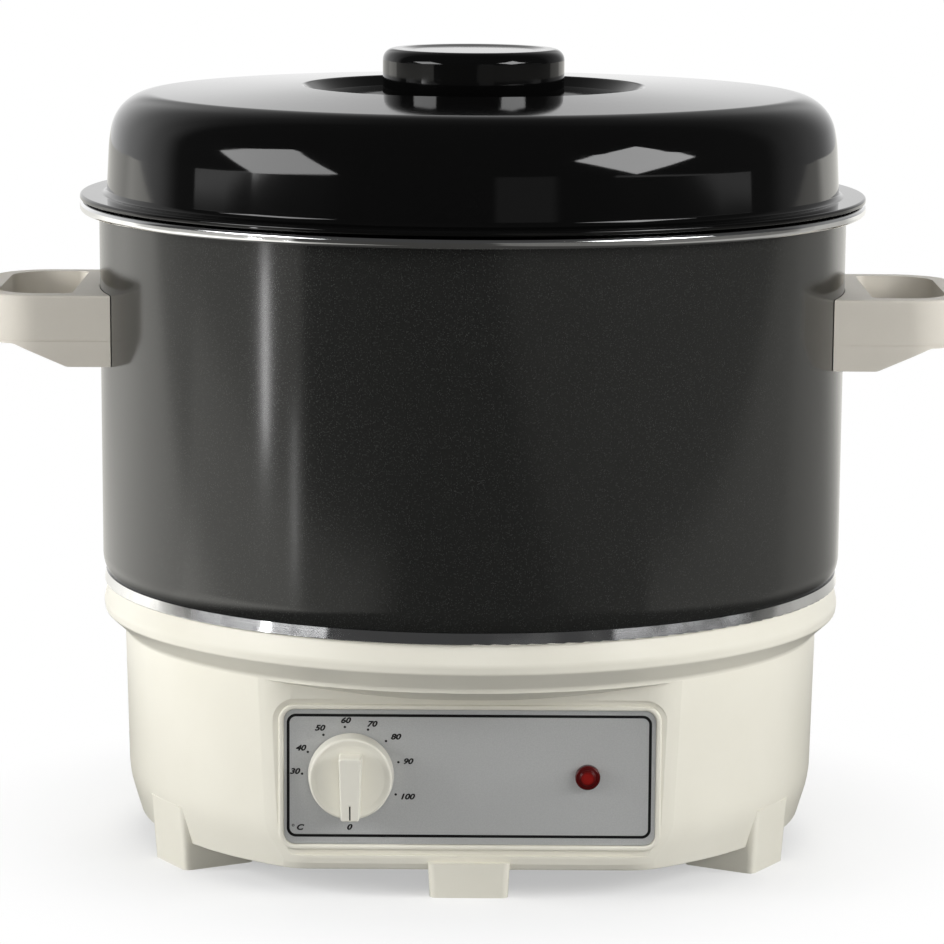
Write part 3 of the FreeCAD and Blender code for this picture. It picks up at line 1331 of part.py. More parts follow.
def lug(gap):
    """Angle plate welded on the pot, grown by gap for its pocket."""
    half = LUG_HALF + gap
    wall = POT_R + LUG_SHEET + gap
    low = LUG_Z - LUG_HEIGHT / 2 - gap
    high = LUG_Z + LUG_HEIGHT / 2 + gap
    plate = post(wall, low, high).common(block(POT_R * 0.9, wall + 1, -half, half, low, high))
    tab = block(POT_R * 0.95, LUG_TAB_X + gap, -half, half, LUG_Z - LUG_SHEET / 2 - gap,
                LUG_Z + LUG_SHEET / 2 + gap)
    return joined([plate, tab])


def handle():
    """One moulded D-shaped handle on the +X side."""
    height = HANDLE_TOP_Z - HANDLE_LOW_Z
    slab = prism(handle_plan(0), in_plan, Vector(0, 0, height)).translated(Vector(0, 0, HANDLE_LOW_Z))
    grip_z = HANDLE_TOP_Z - GRIP_DEPTH
    side = prism([
        (POT_R * 0.8, HANDLE_LOW_Z - 1, 0),
        (POT_R * 0.8, HANDLE_TOP_Z + 1, 0),
        (HANDLE_END_X + 1, HANDLE_TOP_Z + 1, 0),
        (HANDLE_END_X + 1, grip_z, 0),
        (BEVEL_END_X, grip_z, 6.0),
        (BEVEL_START_X, HANDLE_LOW_Z, 5.0),
        (POT_R * 0.82, HANDLE_LOW_Z, 0),
        (POT_R * 0.82, HANDLE_LOW_Z - 1, 0),
    ], in_section, Vector(0, ALL, 0)).translated(Vector(0, -ALL / 2, 0))
    body = slab.common(side)
    body = body.makeFillet(HANDLE_EDGE, top_edges(body, HANDLE_TOP_Z))
    half = HANDLE_HALF - HANDLE_BAR
    hole = prism([
        (BLOCK_FACE_X, -half, 5.0),
        (HANDLE_END_X - HANDLE_BAR, -half, HANDLE_CORNER - HANDLE_BAR),
        (HANDLE_END_X - HANDLE_BAR, half, HANDLE_CORNER - HANDLE_BAR),
        (BLOCK_FACE_X, half, 5.0),
    ], in_plan, Vector(0, 0, ALL))
    body = body.cut(hole)
    body = body.cut(pot_envelope(HANDLE_SEAT, HANDLE_LOW_Z - 2, HANDLE_TOP_Z + 2))
    seam_z = HANDLE_TOP_Z - PARTING_DROP
    seam = block(0, ALL, -ALL, ALL, seam_z - PARTING_STEP, seam_z + PARTING_STEP).cut(
        prism(handle_plan(PARTING_STEP), in_plan, Vector(0, 0, ALL)))
    pocket = lug(LUG_POCKET_GAP)
    seat_z = HANDLE_LOW_Z + HANDLE_SCREW_SINK
    bores = []
    for y in (-HANDLE_SCREW_Y, HANDLE_SCREW_Y):
        bores.append(post(HANDLE_SCREW_R + SCREW_CLEAR, 0, LUG_Z + 8, HANDLE_SCREW_X, y))
        bores.append(post(HANDLE_SCREW_HEAD_R + SCREW_CLEAR, 0, seat_z, HANDLE_SCREW_X, y))
    return body.cut(group([seam])).cut(pocket).cut(group(bores))


def top_edges(body, z):
    return [edge for edge in body.Edges
            if edge.BoundBox.ZMin > z - 0.01 and edge.BoundBox.XMax > POT_R * 0.9]


def handle_lugs():
    """Both lugs, cut to lie on the pot's wall."""
    one = lug(0).cut(pot_envelope(0, HANDLE_LOW_Z - 2, HANDLE_TOP_Z + 2))
    holes = [post(HANDLE_SCREW_R + THREAD_GAP, 0, ALL, HANDLE_SCREW_X, y)
             for y in (-HANDLE_SCREW_Y, HANDLE_SCREW_Y)]
    one = one.cut(group(holes))
    return group([one, turned(one, 180.0)])


def handle_screws():
    seat_z = HANDLE_LOW_Z + HANDLE_SCREW_SINK
    length = LUG_Z - seat_z + 5
    one = screw(HANDLE_SCREW_R, length, HANDLE_SCREW_HEAD_R, HANDLE_SCREW_HEAD)
    pair = [one.translated(Vector(HANDLE_SCREW_X, y, seat_z)) for y in (-HANDLE_SCREW_Y, HANDLE_SCREW_Y)]
    return group(pair + [turned(shape, 180.0) for shape in pair])


def handle_right():
    return handle()


def handle_left():
    return turned(handle(), 180.0)


NODES = {
    "pot": pot,
    "rim_ring": rim_ring,
    "base_band": base_band,
    "lid_shell": lid_shell,
    "lid_knob": lid_knob,
    "lid_washer": lid_washer,
    "lid_screw": lid_screw,
    "base_shell": base_shell,
    "control_panel": control_panel,
    "thermostat_body": thermostat_body,
    "thermostat_screws": thermostat_screws,
    "thermostat_spindle": thermostat_spindle,
    "thermostat_knob": thermostat_knob,
    "capillary_bulb": capillary,
    "bulb_clips": bulb_clips,
    "pilot_lens": pilot_lens,
    "pilot_body": pilot_body,
    "neon_lamp": neon_lamp,
    "heater_studs": heater_studs,
    "heater_plate": heater_plate,
    "heating_element": heating_element,
    "element_terminals": element_terminals,
    "heater_bridge": heater_bridge,
    "heater_nuts": heater_nuts,
    "heat_shield": heat_shield,
    "tie_rods": tie_rods,
    "thermal_cutout": thermal_cutout,
    "cutout_screws": cutout_screws,
    "base_cover": base_cover,
    "cover_screws": cover_screws,
    "rod_screws": rod_screws,
    "cord_gland": cord_gland,
    "gland_nut": gland_nut,
    "terminal_block": terminal_block,
    "block_screws": block_screws,
    "earth_tag": earth_tag,
    "lead_live": lead_live,
    "lead_switched": lead_switched,
    "lead_neutral": lead_neutral,
    "lead_earth": lead_earth,
    "lamp_leads": lamp_leads,
    "handle_left": handle_left,
    "handle_right": handle_right,
    "handle_lugs": handle_lugs,
    "handle_screws": handle_screws,
}

for name, make in NODES.items():
    shape = make()
    shape.exportStep("parts/" + name + ".step")
    print(name, len(shape.Solids), shape.isValid(), round(shape.Volume, 1),
          [round(v, 1) for v in (shape.BoundBox.XMin, shape.BoundBox.XMax, shape.BoundBox.YMin,
                                 shape.BoundBox.YMax, shape.BoundBox.ZMin, shape.BoundBox.ZMax)])
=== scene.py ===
import json
import math

import bmesh
import bpy
from mathutils import Matrix, Vector


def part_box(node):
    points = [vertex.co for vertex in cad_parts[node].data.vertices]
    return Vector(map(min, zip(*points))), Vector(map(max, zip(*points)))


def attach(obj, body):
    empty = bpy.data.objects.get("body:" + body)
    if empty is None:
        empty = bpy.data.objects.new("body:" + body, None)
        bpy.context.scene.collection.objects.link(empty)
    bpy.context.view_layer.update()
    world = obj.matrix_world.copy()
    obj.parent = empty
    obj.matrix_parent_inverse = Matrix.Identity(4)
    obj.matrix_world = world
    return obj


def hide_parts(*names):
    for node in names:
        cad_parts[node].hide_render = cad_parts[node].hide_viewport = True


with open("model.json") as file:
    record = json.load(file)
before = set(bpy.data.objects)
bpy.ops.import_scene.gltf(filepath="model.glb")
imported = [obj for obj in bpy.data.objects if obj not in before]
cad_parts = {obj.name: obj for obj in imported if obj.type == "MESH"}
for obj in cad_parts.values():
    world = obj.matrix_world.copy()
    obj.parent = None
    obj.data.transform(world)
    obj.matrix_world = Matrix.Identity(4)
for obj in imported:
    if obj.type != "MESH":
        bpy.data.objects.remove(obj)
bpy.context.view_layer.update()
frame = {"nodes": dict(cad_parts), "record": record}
nodes = frame["nodes"]

MM = 0.001

# ---------------------------------------------------------------- camera

CAMERA_AT = Vector((0.0, -1.9963, 0.4895))
CAMERA_DIP = 0.158          # radians below the horizon
CAMERA_ROLL = 0.006
FOCAL_LENGTH = 162.38       # mm
SHIFT = 0.0008


def make_camera():
    data = bpy.data.cameras.new("camera")
    data.lens = FOCAL_LENGTH
    data.shift_x = SHIFT
    data.clip_start = 0.05
    data.clip_end = 50.0
    camera = bpy.data.objects.new("camera", data)
    turn = Matrix.Rotation(math.pi / 2 - CAMERA_DIP, 4, "X") @ Matrix.Rotation(CAMERA_ROLL, 4, "Z")
    camera.matrix_world = Matrix.Translation(CAMERA_AT) @ turn
    bpy.context.scene.collection.objects.link(camera)
    bpy.context.scene.camera = camera


# ---------------------------------------------------------------- shader writing

class Value:
    """One output of a shader node. Arithmetic on it adds Math nodes."""

    def __init__(self, finish, socket):
        self.finish = finish
        self.socket = socket

    def _math(self, operation, first, second=None):
        inputs = {0: first}
        if second is not None:
            inputs[1] = second
        return self.finish.add("ShaderNodeMath", {"operation": operation}, inputs)

    def __add__(self, other):
        return self._math("ADD", self, other)

    def __radd__(self, other):
        return self._math("ADD", other, self)

    def __sub__(self, other):
        return self._math("SUBTRACT", self, other)

    def __rsub__(self, other):
        return self._math("SUBTRACT", other, self)

    def __mul__(self, other):
        return self._math("MULTIPLY", self, other)

    def __rmul__(self, other):
        return self._math("MULTIPLY", other, self)

    def magnitude(self):
        return self._math("ABSOLUTE", self)

    def root(self):
        return self._math("SQRT", self)

    def above(self, other):
        return self._math("MAXIMUM", self, other)

    def below(self, other):
        return self._math("MINIMUM", self, other)

    def ramp(self, low, high, start=0.0, end=1.0):
        """Smooth rise from start to end while the value goes from low to high."""
        return self.finish.add("ShaderNodeMapRange", {"interpolation_type": "SMOOTHSTEP"},
                               {0: self, 1: low, 2: high, 3: start, 4: end})


class Nodes:
    """Nodes of one material or world, cleared and written one by one."""

    def __init__(self, owner):
        owner.use_nodes = True
        self.tree = owner.node_tree
        self.tree.nodes.clear()

    def add(self, kind, settings=None, inputs=None, output=0):
        node = self.tree.nodes.new(kind)
        for key, value in (settings or {}).items():
            setattr(node, key, value)
        for key, value in (inputs or {}).items():
            self.feed(node.inputs[key], value)
        return None if output is None else Value(self, node.outputs[output])

    def feed(self, socket, value):
        """Link or constant into a socket; a colour may leave its alpha out."""
        if isinstance(value, Value):
            self.tree.links.new(value.socket, socket)
        elif isinstance(value, (int, float)) or len(value) == len(socket.default_value):
            socket.default_value = value
        else:
            socket.default_value = (*value, 1.0)

    def place(self):
        """Object coordinates, in metres."""
        return self.add("ShaderNodeTexCoord", output="Object")

    def parts(self, vector):
        """The x, y and z of a vector."""
        split = self.add("ShaderNodeSeparateXYZ", inputs={0: vector}).socket.node
        return [Value(self, split.outputs[i]) for i in range(3)]

    def axes(self):
        """Object coordinates one by one."""
        return self.parts(self.place())

    def noise(self, scale, detail=2.0, roughness=0.5):
        return self.add("ShaderNodeTexNoise", inputs={"Vector": self.place(), "Scale": scale,
                                                      "Detail": detail, "Roughness": roughness})

    def cells(self, scale, output="Distance"):
        inputs = {"Vector": self.place(), "Scale": scale}
        return self.add("ShaderNodeTexVoronoi", inputs=inputs, output=output)

    def mix(self, share, first, second):
        """Blend of two colours."""
        return self.add("ShaderNodeMix", {"data_type": "RGBA"}, {0: share, 6: first, 7: second}, 2)

    def glow(self, strength, color=(1, 1, 1)):
        return self.add("ShaderNodeEmission", inputs={0: color, 1: strength})

    def either(self, share, first, second):
        """Blend of two shaders."""
        return self.add("ShaderNodeMixShader", inputs={0: share, 1: first, 2: second})

    def for_ray(self, kind, others, this):
        """One shader for rays of a kind, such as Is Camera Ray, and another for the rest."""
        return self.either(self.add("ShaderNodeLightPath", output=kind), others, this)

    def close(self, shader, kind="ShaderNodeOutputMaterial"):
        self.add(kind, inputs={0: shader}, output=None)


class Finish(Nodes):
    """A material with one Principled shader."""

    def __init__(self, name, color, roughness, metallic=0.0, **constants):
        self.material = bpy.data.materials.new(name)
        super().__init__(self.material)
        surface = {"Base Color": color, "Roughness": roughness, "Metallic": metallic}
        surface.update((key.replace("_", " "), value) for key, value in constants.items())
        closed = self.add("ShaderNodeBsdfPrincipled", inputs=surface)
        self.shader = closed.socket.node
        self.close(closed)
        self.material.diffuse_color = (*color, 1.0)

    def color(self, value):
        self.feed(self.shader.inputs["Base Color"], value)

    def rough(self, value):
        self.feed(self.shader.inputs["Roughness"], value)

    def bump(self, height, depth, strength=1.0):
        inputs = {"Strength": strength, "Distance": depth, "Height": height}
        normal = self.add("ShaderNodeBump", inputs=inputs, output="Normal")
        self.feed(self.shader.inputs["Normal"], normal)


# ---------------------------------------------------------------- finishes

FLAKES = 2100.0             # flakes of the enamel along one metre


def speckled_enamel():
    """Dark enamel fired on steel: fine bright flakes in the glaze and a skin that breaks up highlights."""
    f = Finish("enamel", (0.013, 0.0135, 0.0125), 0.13, IOR=1.62)
    grain = f.noise(1800.0, 2.0, 0.6)
    fleck = f.add("ShaderNodeSeparateColor", inputs={0: f.cells(FLAKES, "Color")}).ramp(0.70, 1.0)
    flake = fleck * (1.0 - f.cells(FLAKES).ramp(0.15, 0.50))
    cloud = f.noise(30.0, 3.0, 0.55).ramp(0.3, 0.7)
    ground = f.mix(grain.ramp(0.35, 0.68), (0.0095, 0.0098, 0.0092), (0.0185, 0.0190, 0.0177))
    ground = f.mix(cloud * 0.3, ground, (0.012, 0.0125, 0.0117))
    f.color(f.mix(flake * 0.62, ground, (0.145, 0.150, 0.140)))
    f.feed(f.shader.inputs["Metallic"], flake * 0.6)
    f.rough(0.11 + 0.05 * grain + flake * 0.12)
    f.bump(grain + flake * 0.6, 0.01 * MM, 0.22)
    return f.material


def black_gloss():
    """Injection-moulded black with a high gloss, a trace of flow and a little dust."""
    f = Finish("gloss_black", (0.0018, 0.0018, 0.0018), 0.06, IOR=1.5)
    flow = f.noise(22.0, 2.0, 0.5)
    dust = 1.0 - f.cells(420.0).ramp(0.02, 0.05)
    fine = f.noise(900.0, 2.0, 0.5)
    f.color(f.mix(dust * 0.10, (0.0018, 0.0018, 0.0018), (0.04, 0.04, 0.038)))
    f.rough(0.035 + flow * 0.03 + dust * 0.2 + fine * 0.012)
    f.bump(flow, 0.12 * MM, 0.18)
    return f.material


def cream_plastic(name, color, dark, roughness=0.34, wear=0.5):
    """Moulded light plastic: faint sink marks, a fine skin and slightly dulled patches."""
    f = Finish(name, color, roughness, IOR=1.48, Coat_Weight=0.25, Coat_Roughness=0.18)
    sink = f.noise(16.0, 3.0, 0.5)
    skin = f.noise(1400.0, 2.0, 0.55)
    speck = 1.0 - f.cells(260.0).ramp(0.01, 0.03)
    tone = f.mix(sink.ramp(0.3, 0.75) * wear, color, dark)
    f.color(f.mix(speck * 0.25, tone, tuple(c * 0.55 for c in dark)))
    f.rough(roughness - 0.05 + sink * 0.08 + skin * 0.05)
    f.bump(skin + sink * 3.0, 0.02 * MM, 0.30)
    return f.material


def handle_plastic():
    """Warm grey thermoset with a fine matt skin."""
    f = Finish("handle_grey", (0.635, 0.598, 0.530), 0.42, IOR=1.48)
    skin = f.noise(1100.0, 3.0, 0.6)
    cloud = f.noise(28.0, 3.0, 0.5)
    tone = f.mix(cloud.ramp(0.3, 0.75) * 0.6, (0.642, 0.605, 0.535), (0.580, 0.546, 0.481))
    fleck = 1.0 - f.cells(700.0).ramp(0.05, 0.16)
    f.color(f.mix(fleck * 0.18, tone, (0.30, 0.29, 0.25)))
    f.rough(0.36 + 0.12 * skin)
    f.bump(skin, 0.03 * MM, 0.4)
    return f.material


ROLLING_LINES = 9000.0      # lines of the bright steel along one metre of height


def polished_steel():
    """Bright rolled strip with faint lines along its length and a few handling marks."""
    f = Finish("bright_steel", (0.86, 0.865, 0.875), 0.08, 1.0)
    _, _, z = f.axes()
    lines = f.add("ShaderNodeTexNoise", {"noise_dimensions": "1D"},
                  {"W": z * ROLLING_LINES, "Scale": 1.0, "Detail": 2.0})
    smear = f.noise(60.0, 3.0, 0.6)
    f.color(f.mix(smear.ramp(0.45, 0.75) * 0.35, (0.87, 0.875, 0.885), (0.72, 0.72, 0.72)))
    f.rough(0.045 + lines * 0.05 + smear.ramp(0.4, 0.8) * 0.08)
    f.bump(lines, 0.004 * MM, 0.35)
    return f.material


BORDER_X = -0.15 * MM
BORDER_Z = 55.3 * MM
BORDER_HALF_X = 81.6 * MM
BORDER_HALF_Z = 28.2 * MM
BORDER_ROUND = 4.2 * MM
BORDER_LINE = 1.30 * MM
DIAL_X = -52.94 * MM
DIAL_Z = 55.78 * MM
DOT_CIRCLE = 21.92 * MM
DOT_R = 0.56 * MM
DOT_ANGLES = (-89.3, -62.1, -34.4, -7.4, 20.1, 45.3, 74.7, 114.3)   # clockwise from the top
PRINT_SOFT = 0.05 * MM      # half the soft edge of a printed shape


def printed_panel():
    """Satin aluminium plate with a printed border and the dial's dots."""
    f = Finish("panel_silver", (0.30, 0.305, 0.30), 0.42, 0.25)
    x, _, z = f.axes()
    grain = f.noise(1700.0, 2.0, 0.5)
    cloud = f.noise(26.0, 2.0, 0.5)
    plate = f.mix(grain.ramp(0.3, 0.7) * 0.5, (0.475, 0.480, 0.475), (0.570, 0.575, 0.565))
    plate = f.mix(cloud.ramp(0.35, 0.7) * 0.2, plate, (0.435, 0.44, 0.435))
    over_x = ((x - BORDER_X).magnitude() - (BORDER_HALF_X - BORDER_ROUND)).above(0.0)
    over_z = ((z - BORDER_Z).magnitude() - (BORDER_HALF_Z - BORDER_ROUND)).above(0.0)
    outside = (over_x * over_x + over_z * over_z).root() - BORDER_ROUND
    line = 1.0 - ((outside + BORDER_LINE / 2).magnitude() - BORDER_LINE / 2).ramp(-PRINT_SOFT, PRINT_SOFT)
    ink = line
    for angle in DOT_ANGLES:
        dot_x = DIAL_X + DOT_CIRCLE * math.sin(math.radians(angle))
        dot_z = DIAL_Z + DOT_CIRCLE * math.cos(math.radians(angle))
        dx = x - dot_x
        dz = z - dot_z
        ink = ink.above(1.0 - (dx * dx + dz * dz).root().ramp(DOT_R - PRINT_SOFT, DOT_R + PRINT_SOFT))
    f.color(f.mix(ink, plate, (0.006, 0.006, 0.006)))
    f.rough(0.40 + 0.10 * grain - ink * 0.08)
    f.bump(grain, 0.008 * MM, 0.3)
    return f.material


def printing_ink():
    f = Finish("ink", (0.006, 0.006, 0.006), 0.38)
    f.rough(0.34 + 0.1 * f.noise(2500.0))
    return f.material


LAMP_X = 52.8 * MM          # middle of the painted glow, where the lamp's light shows through its cap
LAMP_Z = 55.5 * MM
# inner and outer radius of the painted glow in the cap's colour
LAMP_PAINTED_GLOW = (1.6 * MM, 3.6 * MM)
LAMP_RIBS = 9000.0          # radians of the rings' wave along one metre


def lamp_red():
    """Dark red lamp cap with a ribbed inside, and a brighter middle painted into its colour for the lamp's
    light showing through.
    """
    f = Finish("lamp_red", (0.10, 0.002, 0.003), 0.28, IOR=1.45)
    x, _, z = f.axes()
    dx = x - LAMP_X
    dz = z - LAMP_Z
    away = (dx * dx + dz * dz).root()
    rings = f.add("ShaderNodeMath", {"operation": "SINE"}, {0: away * LAMP_RIBS})
    # painted light: the cap's colour turns brighter red towards the middle, standing in for the lamp's light
    # through the cap
    glow = 1.0 - away.ramp(*LAMP_PAINTED_GLOW)
    f.color(f.mix((glow * 0.85 + rings * 0.08).above(0.0), (0.062, 0.0008, 0.001), (0.240, 0.006, 0.004)))
    f.rough(0.26 + 0.04 * rings)
    return f.material


def plain_metal(name, color, roughness, scale=300.0):
    """Plated or rolled metal with soft cloudy wear."""
    f = Finish(name, color, roughness, 1.0)
    wear = f.noise(scale, 4.0, 0.6)
    stain = f.noise(45.0, 3.0, 0.5)
    f.color(f.mix(stain.ramp(0.4, 0.75) * 0.5, color, tuple(c * 0.7 for c in color)))
    f.rough(roughness - 0.06 + wear * 0.16)
    f.bump(wear, 0.03 * MM, 0.3)
    return f.material


def plain_plastic(name, color, roughness, metallic=0.0, **constants):
    """Moulded inner part with a fine skin."""
    f = Finish(name, color, roughness, metallic, **constants)
    skin = f.noise(1200.0, 2.0, 0.5)
    cloud = f.noise(60.0, 2.0, 0.5)
    f.color(f.mix(cloud.ramp(0.3, 0.8) * 0.4, color, tuple(c * 0.75 for c in color)))
    f.rough(roughness - 0.05 + skin * 0.12)
    f.bump(skin, 0.03 * MM, 0.35)
    return f.material


def make_finishes():
    return {
        "enamel_anthracite": speckled_enamel(),
        "bright_steel": polished_steel(),
        "lid_black": black_gloss(),
        "base_cream": cream_plastic("base_cream", (0.80, 0.775, 0.680), (0.74, 0.715, 0.615)),
        "handle_grey": handle_plastic(),
        "knob_cream": cream_plastic("knob_cream", (0.775, 0.755, 0.67), (0.73, 0.71, 0.62), 0.32, 0.35),
        "panel_silver": printed_panel(),
        "lamp_red": lamp_red(),
        "lamp_glass": plain_plastic("lamp_glass", (0.95, 0.85, 0.80), 0.10, Alpha=0.4),
        "black_plastic": plain_plastic("black_plastic", (0.025, 0.025, 0.025), 0.45),
        "white_plastic": plain_plastic("white_plastic", (0.80, 0.80, 0.77), 0.45),
        "steel_zinc": plain_metal("steel_zinc", (0.62, 0.63, 0.64), 0.30),
        "aluminium_plate": plain_metal("aluminium_plate", (0.70, 0.71, 0.72), 0.34),
        "element_steel": plain_metal("element_steel", (0.30, 0.30, 0.31), 0.42),
        "ceramic_white": plain_plastic("ceramic_white", (0.86, 0.85, 0.81), 0.38),
        "copper_bulb": plain_metal("copper_bulb", (0.72, 0.40, 0.25), 0.28),
        "wire_brown": plain_plastic("wire_brown", (0.14, 0.055, 0.025), 0.48),
        "wire_blue": plain_plastic("wire_blue", (0.025, 0.09, 0.38), 0.48),
        "wire_green": plain_plastic("wire_green", (0.09, 0.32, 0.05), 0.48),
        "wire_white": plain_plastic("wire_white", (0.76, 0.76, 0.73), 0.48),
    }


# ---------------------------------------------------------------- mesh helpers

BESIDE = 0.25               # mm between a rounding and the point that keeps the straight run flat
FEWEST_STEPS = 5            # in a rounding
CREASE = math.radians(38.0)
STRAIGHT = 1e-6             # radians
TOUCHING = 1e-7             # metres


def arc_points(before, point, after, radius, steps):
    """Points of the arc that rounds a corner of an outline."""
    back = (before - point).normalized()
    on = (after - point).normalized()
    half = back.angle(on) / 2
    reach = radius / math.tan(half)
    centre = point + (back + on).normalized() * (radius / math.sin(half))
    start = point + back * reach - centre
    end = point + on * reach - centre
    turn = start.angle_signed(end) if start.angle(end) > STRAIGHT else 0.0
    found = []
    for i in range(steps + 1):
        angle = -turn * i / steps
        c, s = math.cos(angle), math.sin(angle)
        found.append(centre + Vector((start.x * c - start.y * s, start.x * s + start.y * c)))
    return found


def outline(corners, steps):
    """Points of a closed outline of corners (r, z, radius) in millimetres.

    A square rounding of 10 mm gets as many steps as given, a larger one more and a slighter one fewer.
    A straight run that is long enough gets a point close beside each rounding, which keeps it flat.
    """
    flat = [Vector((u, v)) for u, v, _ in corners]
    bends = []
    for i, (_, _, radius) in enumerate(corners):
        if radius > 0:
            before, after = flat[i - 1], flat[(i + 1) % len(flat)]
            turn = (flat[i] - before).angle(after - flat[i])
            count = max(FEWEST_STEPS, math.ceil(steps * math.sqrt(radius / 10) * turn / (math.pi / 2)))
            bends.append(arc_points(before, flat[i], after, radius, count))
        else:
            bends.append([flat[i]])
    found = []
    for here, after in zip(bends, bends[1:] + bends[:1]):
        found += here
        run = after[0] - here[-1]
        if run.length > 4 * BESIDE:
            step = run.normalized() * BESIDE
            found += [here[-1] + step] * (len(here) > 1) + [after[0] - step] * (len(after) > 1)
    return found


def spun(name, points, steps):
    """Piece of revolution about Z through outline points (r, z) in millimetres."""
    bm = bmesh.new()
    rim = [bm.verts.new((p.x * MM, 0.0, p.y * MM)) for p in points]
    edges = [bm.edges.new((a, b)) for a, b in zip(rim, rim[1:] + rim[:1])
             if max(abs(a.co.x), abs(b.co.x)) > TOUCHING]
    bmesh.ops.spin(bm, geom=rim + edges, cent=(0, 0, 0), axis=(0, 0, 1), angle=math.tau, steps=steps,
                   use_merge=True)
    bmesh.ops.remove_doubles(bm, verts=bm.verts[:], dist=TOUCHING)
    return finished(name, bm)


def finished(name, bm):
    """Object from a mesh, with normals outwards and edges sharper than the crease kept hard."""
    bmesh.ops.recalc_face_normals(bm, faces=bm.faces[:])
    for face in bm.faces:
        face.smooth = True
    for edge in bm.edges:
        edge.smooth = not (edge.is_manifold and edge.calc_face_angle(0.0) > CREASE)
    mesh = bpy.data.meshes.new(name)
    bm.to_mesh(mesh)
    bm.free()
    piece = bpy.data.objects.new(name, mesh)
    bpy.context.scene.collection.objects.link(piece)
    return piece


def dress(piece, material):
    piece.data.materials.clear()
    piece.data.materials.append(material)


# ---------------------------------------------------------------- printed numbers

NUMBERS = (                 # text, x and z of its middle in millimetres
    ("30", -78.3, 57.1), ("40", -75.6, 67.8), ("50", -67.1, 76.95), ("60", -55.6, 80.45), ("70", -43.8, 78.9),
    ("80", -33.2, 73.1), ("90", -27.7, 61.9), ("100", -28.0, 45.7), ("0", -53.9, 31.6), ("C", -76.1, 31.4),
)
NUMBER_HEIGHT = 2.45 * MM
NUMBER_WIDTH = 1.22         # stretch of the figures
NUMBER_SLANT = 0.28
NUMBER_BOLD = 0.15 * MM
CAPITAL_SHARE = 0.70        # height of a capital in the size of its letter
INK_DEPTH = 0.01 * MM
DEGREE_AT = (-78.9 * MM, 32.4 * MM)
DEGREE_R = (0.62 * MM, 0.32 * MM)
INK_LIFT = 0.03 * MM        # how far the ink stands off the panel
UPRIGHT = Matrix.Rotation(math.pi / 2, 4, "X")


def ride_and_slot(piece, body):
    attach(piece, body)


def printed_number(text, x, z, front, ink):
    """Bold slanted figures printed on the panel, made a mesh."""
    name = "print_" + text
    curve = bpy.data.curves.new(name, "FONT")
    curve.body = text
    curve.align_x = "CENTER"
    curve.align_y = "CENTER"
    curve.size = NUMBER_HEIGHT / CAPITAL_SHARE
    curve.shear = NUMBER_SLANT
    curve.offset = NUMBER_BOLD
    curve.extrude = INK_DEPTH
    curve.resolution_u = 6
    source = bpy.data.objects.new(name, curve)
    bpy.context.scene.collection.objects.link(source)
    bpy.context.view_layer.update()
    mesh = bpy.data.meshes.new_from_object(source.evaluated_get(bpy.context.evaluated_depsgraph_get()))
    bpy.data.objects.remove(source)
    mesh.name = name
    wide = Matrix.Diagonal((NUMBER_WIDTH, 1.0, 1.0, 1.0))
    mesh.transform(Matrix.Translation((x * MM, front, z * MM)) @ UPRIGHT @ wide)
    piece = bpy.data.objects.new(name, mesh)
    bpy.context.scene.collection.objects.link(piece)
    dress(piece, ink)
    ride_and_slot(piece, "melter")


def degree_ring(front, ink):
    bm = bmesh.new()
    for radius in DEGREE_R:
        bmesh.ops.create_circle(bm, segments=28, radius=radius)
    bmesh.ops.bridge_loops(bm, edges=bm.edges[:])
    bmesh.ops.rotate(bm, verts=bm.verts[:], cent=(0, 0, 0), matrix=UPRIGHT.to_3x3())
    bmesh.ops.translate(bm, verts=bm.verts[:], vec=(DEGREE_AT[0], front, DEGREE_AT[1]))
    piece = finished("print_degree", bm)
    dress(piece, ink)
    ride_and_slot(piece, "melter")


# size and place of the dark strip of painted shade in the knob's pointer groove
MARK_WIDTH = 0.55 * MM
MARK_DEPTH = 0.20 * MM
MARK_LENGTH = 6.2 * MM
MARK_SUNK = 0.30 * MM       # its middle below the front of the grip
MARK_DOWN = 13.3 * MM       # its middle below the axis of the dial


def groove_shade_mark(front, ink):
    """Dark strip in the groove at the tip of the knob's grip, in the ink finish: painted shade of the
    engraved groove.
    """
    bm = bmesh.new()
    # painted shade: a dark piece laid in the engraved groove, where there is only the groove's own shade
    bmesh.ops.create_cube(bm, size=1.0)
    bmesh.ops.scale(bm, verts=bm.verts[:], vec=(MARK_WIDTH, MARK_DEPTH, MARK_LENGTH))
    bmesh.ops.translate(bm, verts=bm.verts[:], vec=(DIAL_X, front + MARK_SUNK, DIAL_Z - MARK_DOWN))
    piece = finished("groove_shade_mark", bm)
    dress(piece, ink)
    ride_and_slot(piece, "thermostat_knob")


# ---------------------------------------------------------------- the melter, in millimetres

POT_LOW = 119.0
POT_TOP = 300.5
POT_WALL = 1.2
POT_R = 175.0
POT_DRAFT = 0.8             # how much narrower the pot is at its bottom
POT_ROUND = 17.0
POT_ROLL_R = 182.8          # reach of the pot's rolled lip
FLANGE_R = 183.9            # reach of the lid's flange and of the bright rim
RECESS = 345.3              # floor of the lid's finger recess
LID_TOP = 354.9
LID_WALL = 2.5
LID_HOLE_R = 2.8            # hole of the lid's screw
LID_LOW = 296.6             # lower edge of the collar inside the pot's rim
FLANGE_LOW = 302.5
FLANGE_TOP = 304.9
KNOB_R = 42.5
KNOB_LOW = 347.0
KNOB_TOP = 372.0
KNOB_DISH = 0.8             # depth of the dish on top
NECK_R = 27.0
NECK_BORE = 23.5
NECK_BORE_TOP = 360.1
LENS_R = 5.6
LENS_DOME_R = 3.2
LENS_AT = (52.9, 55.4)


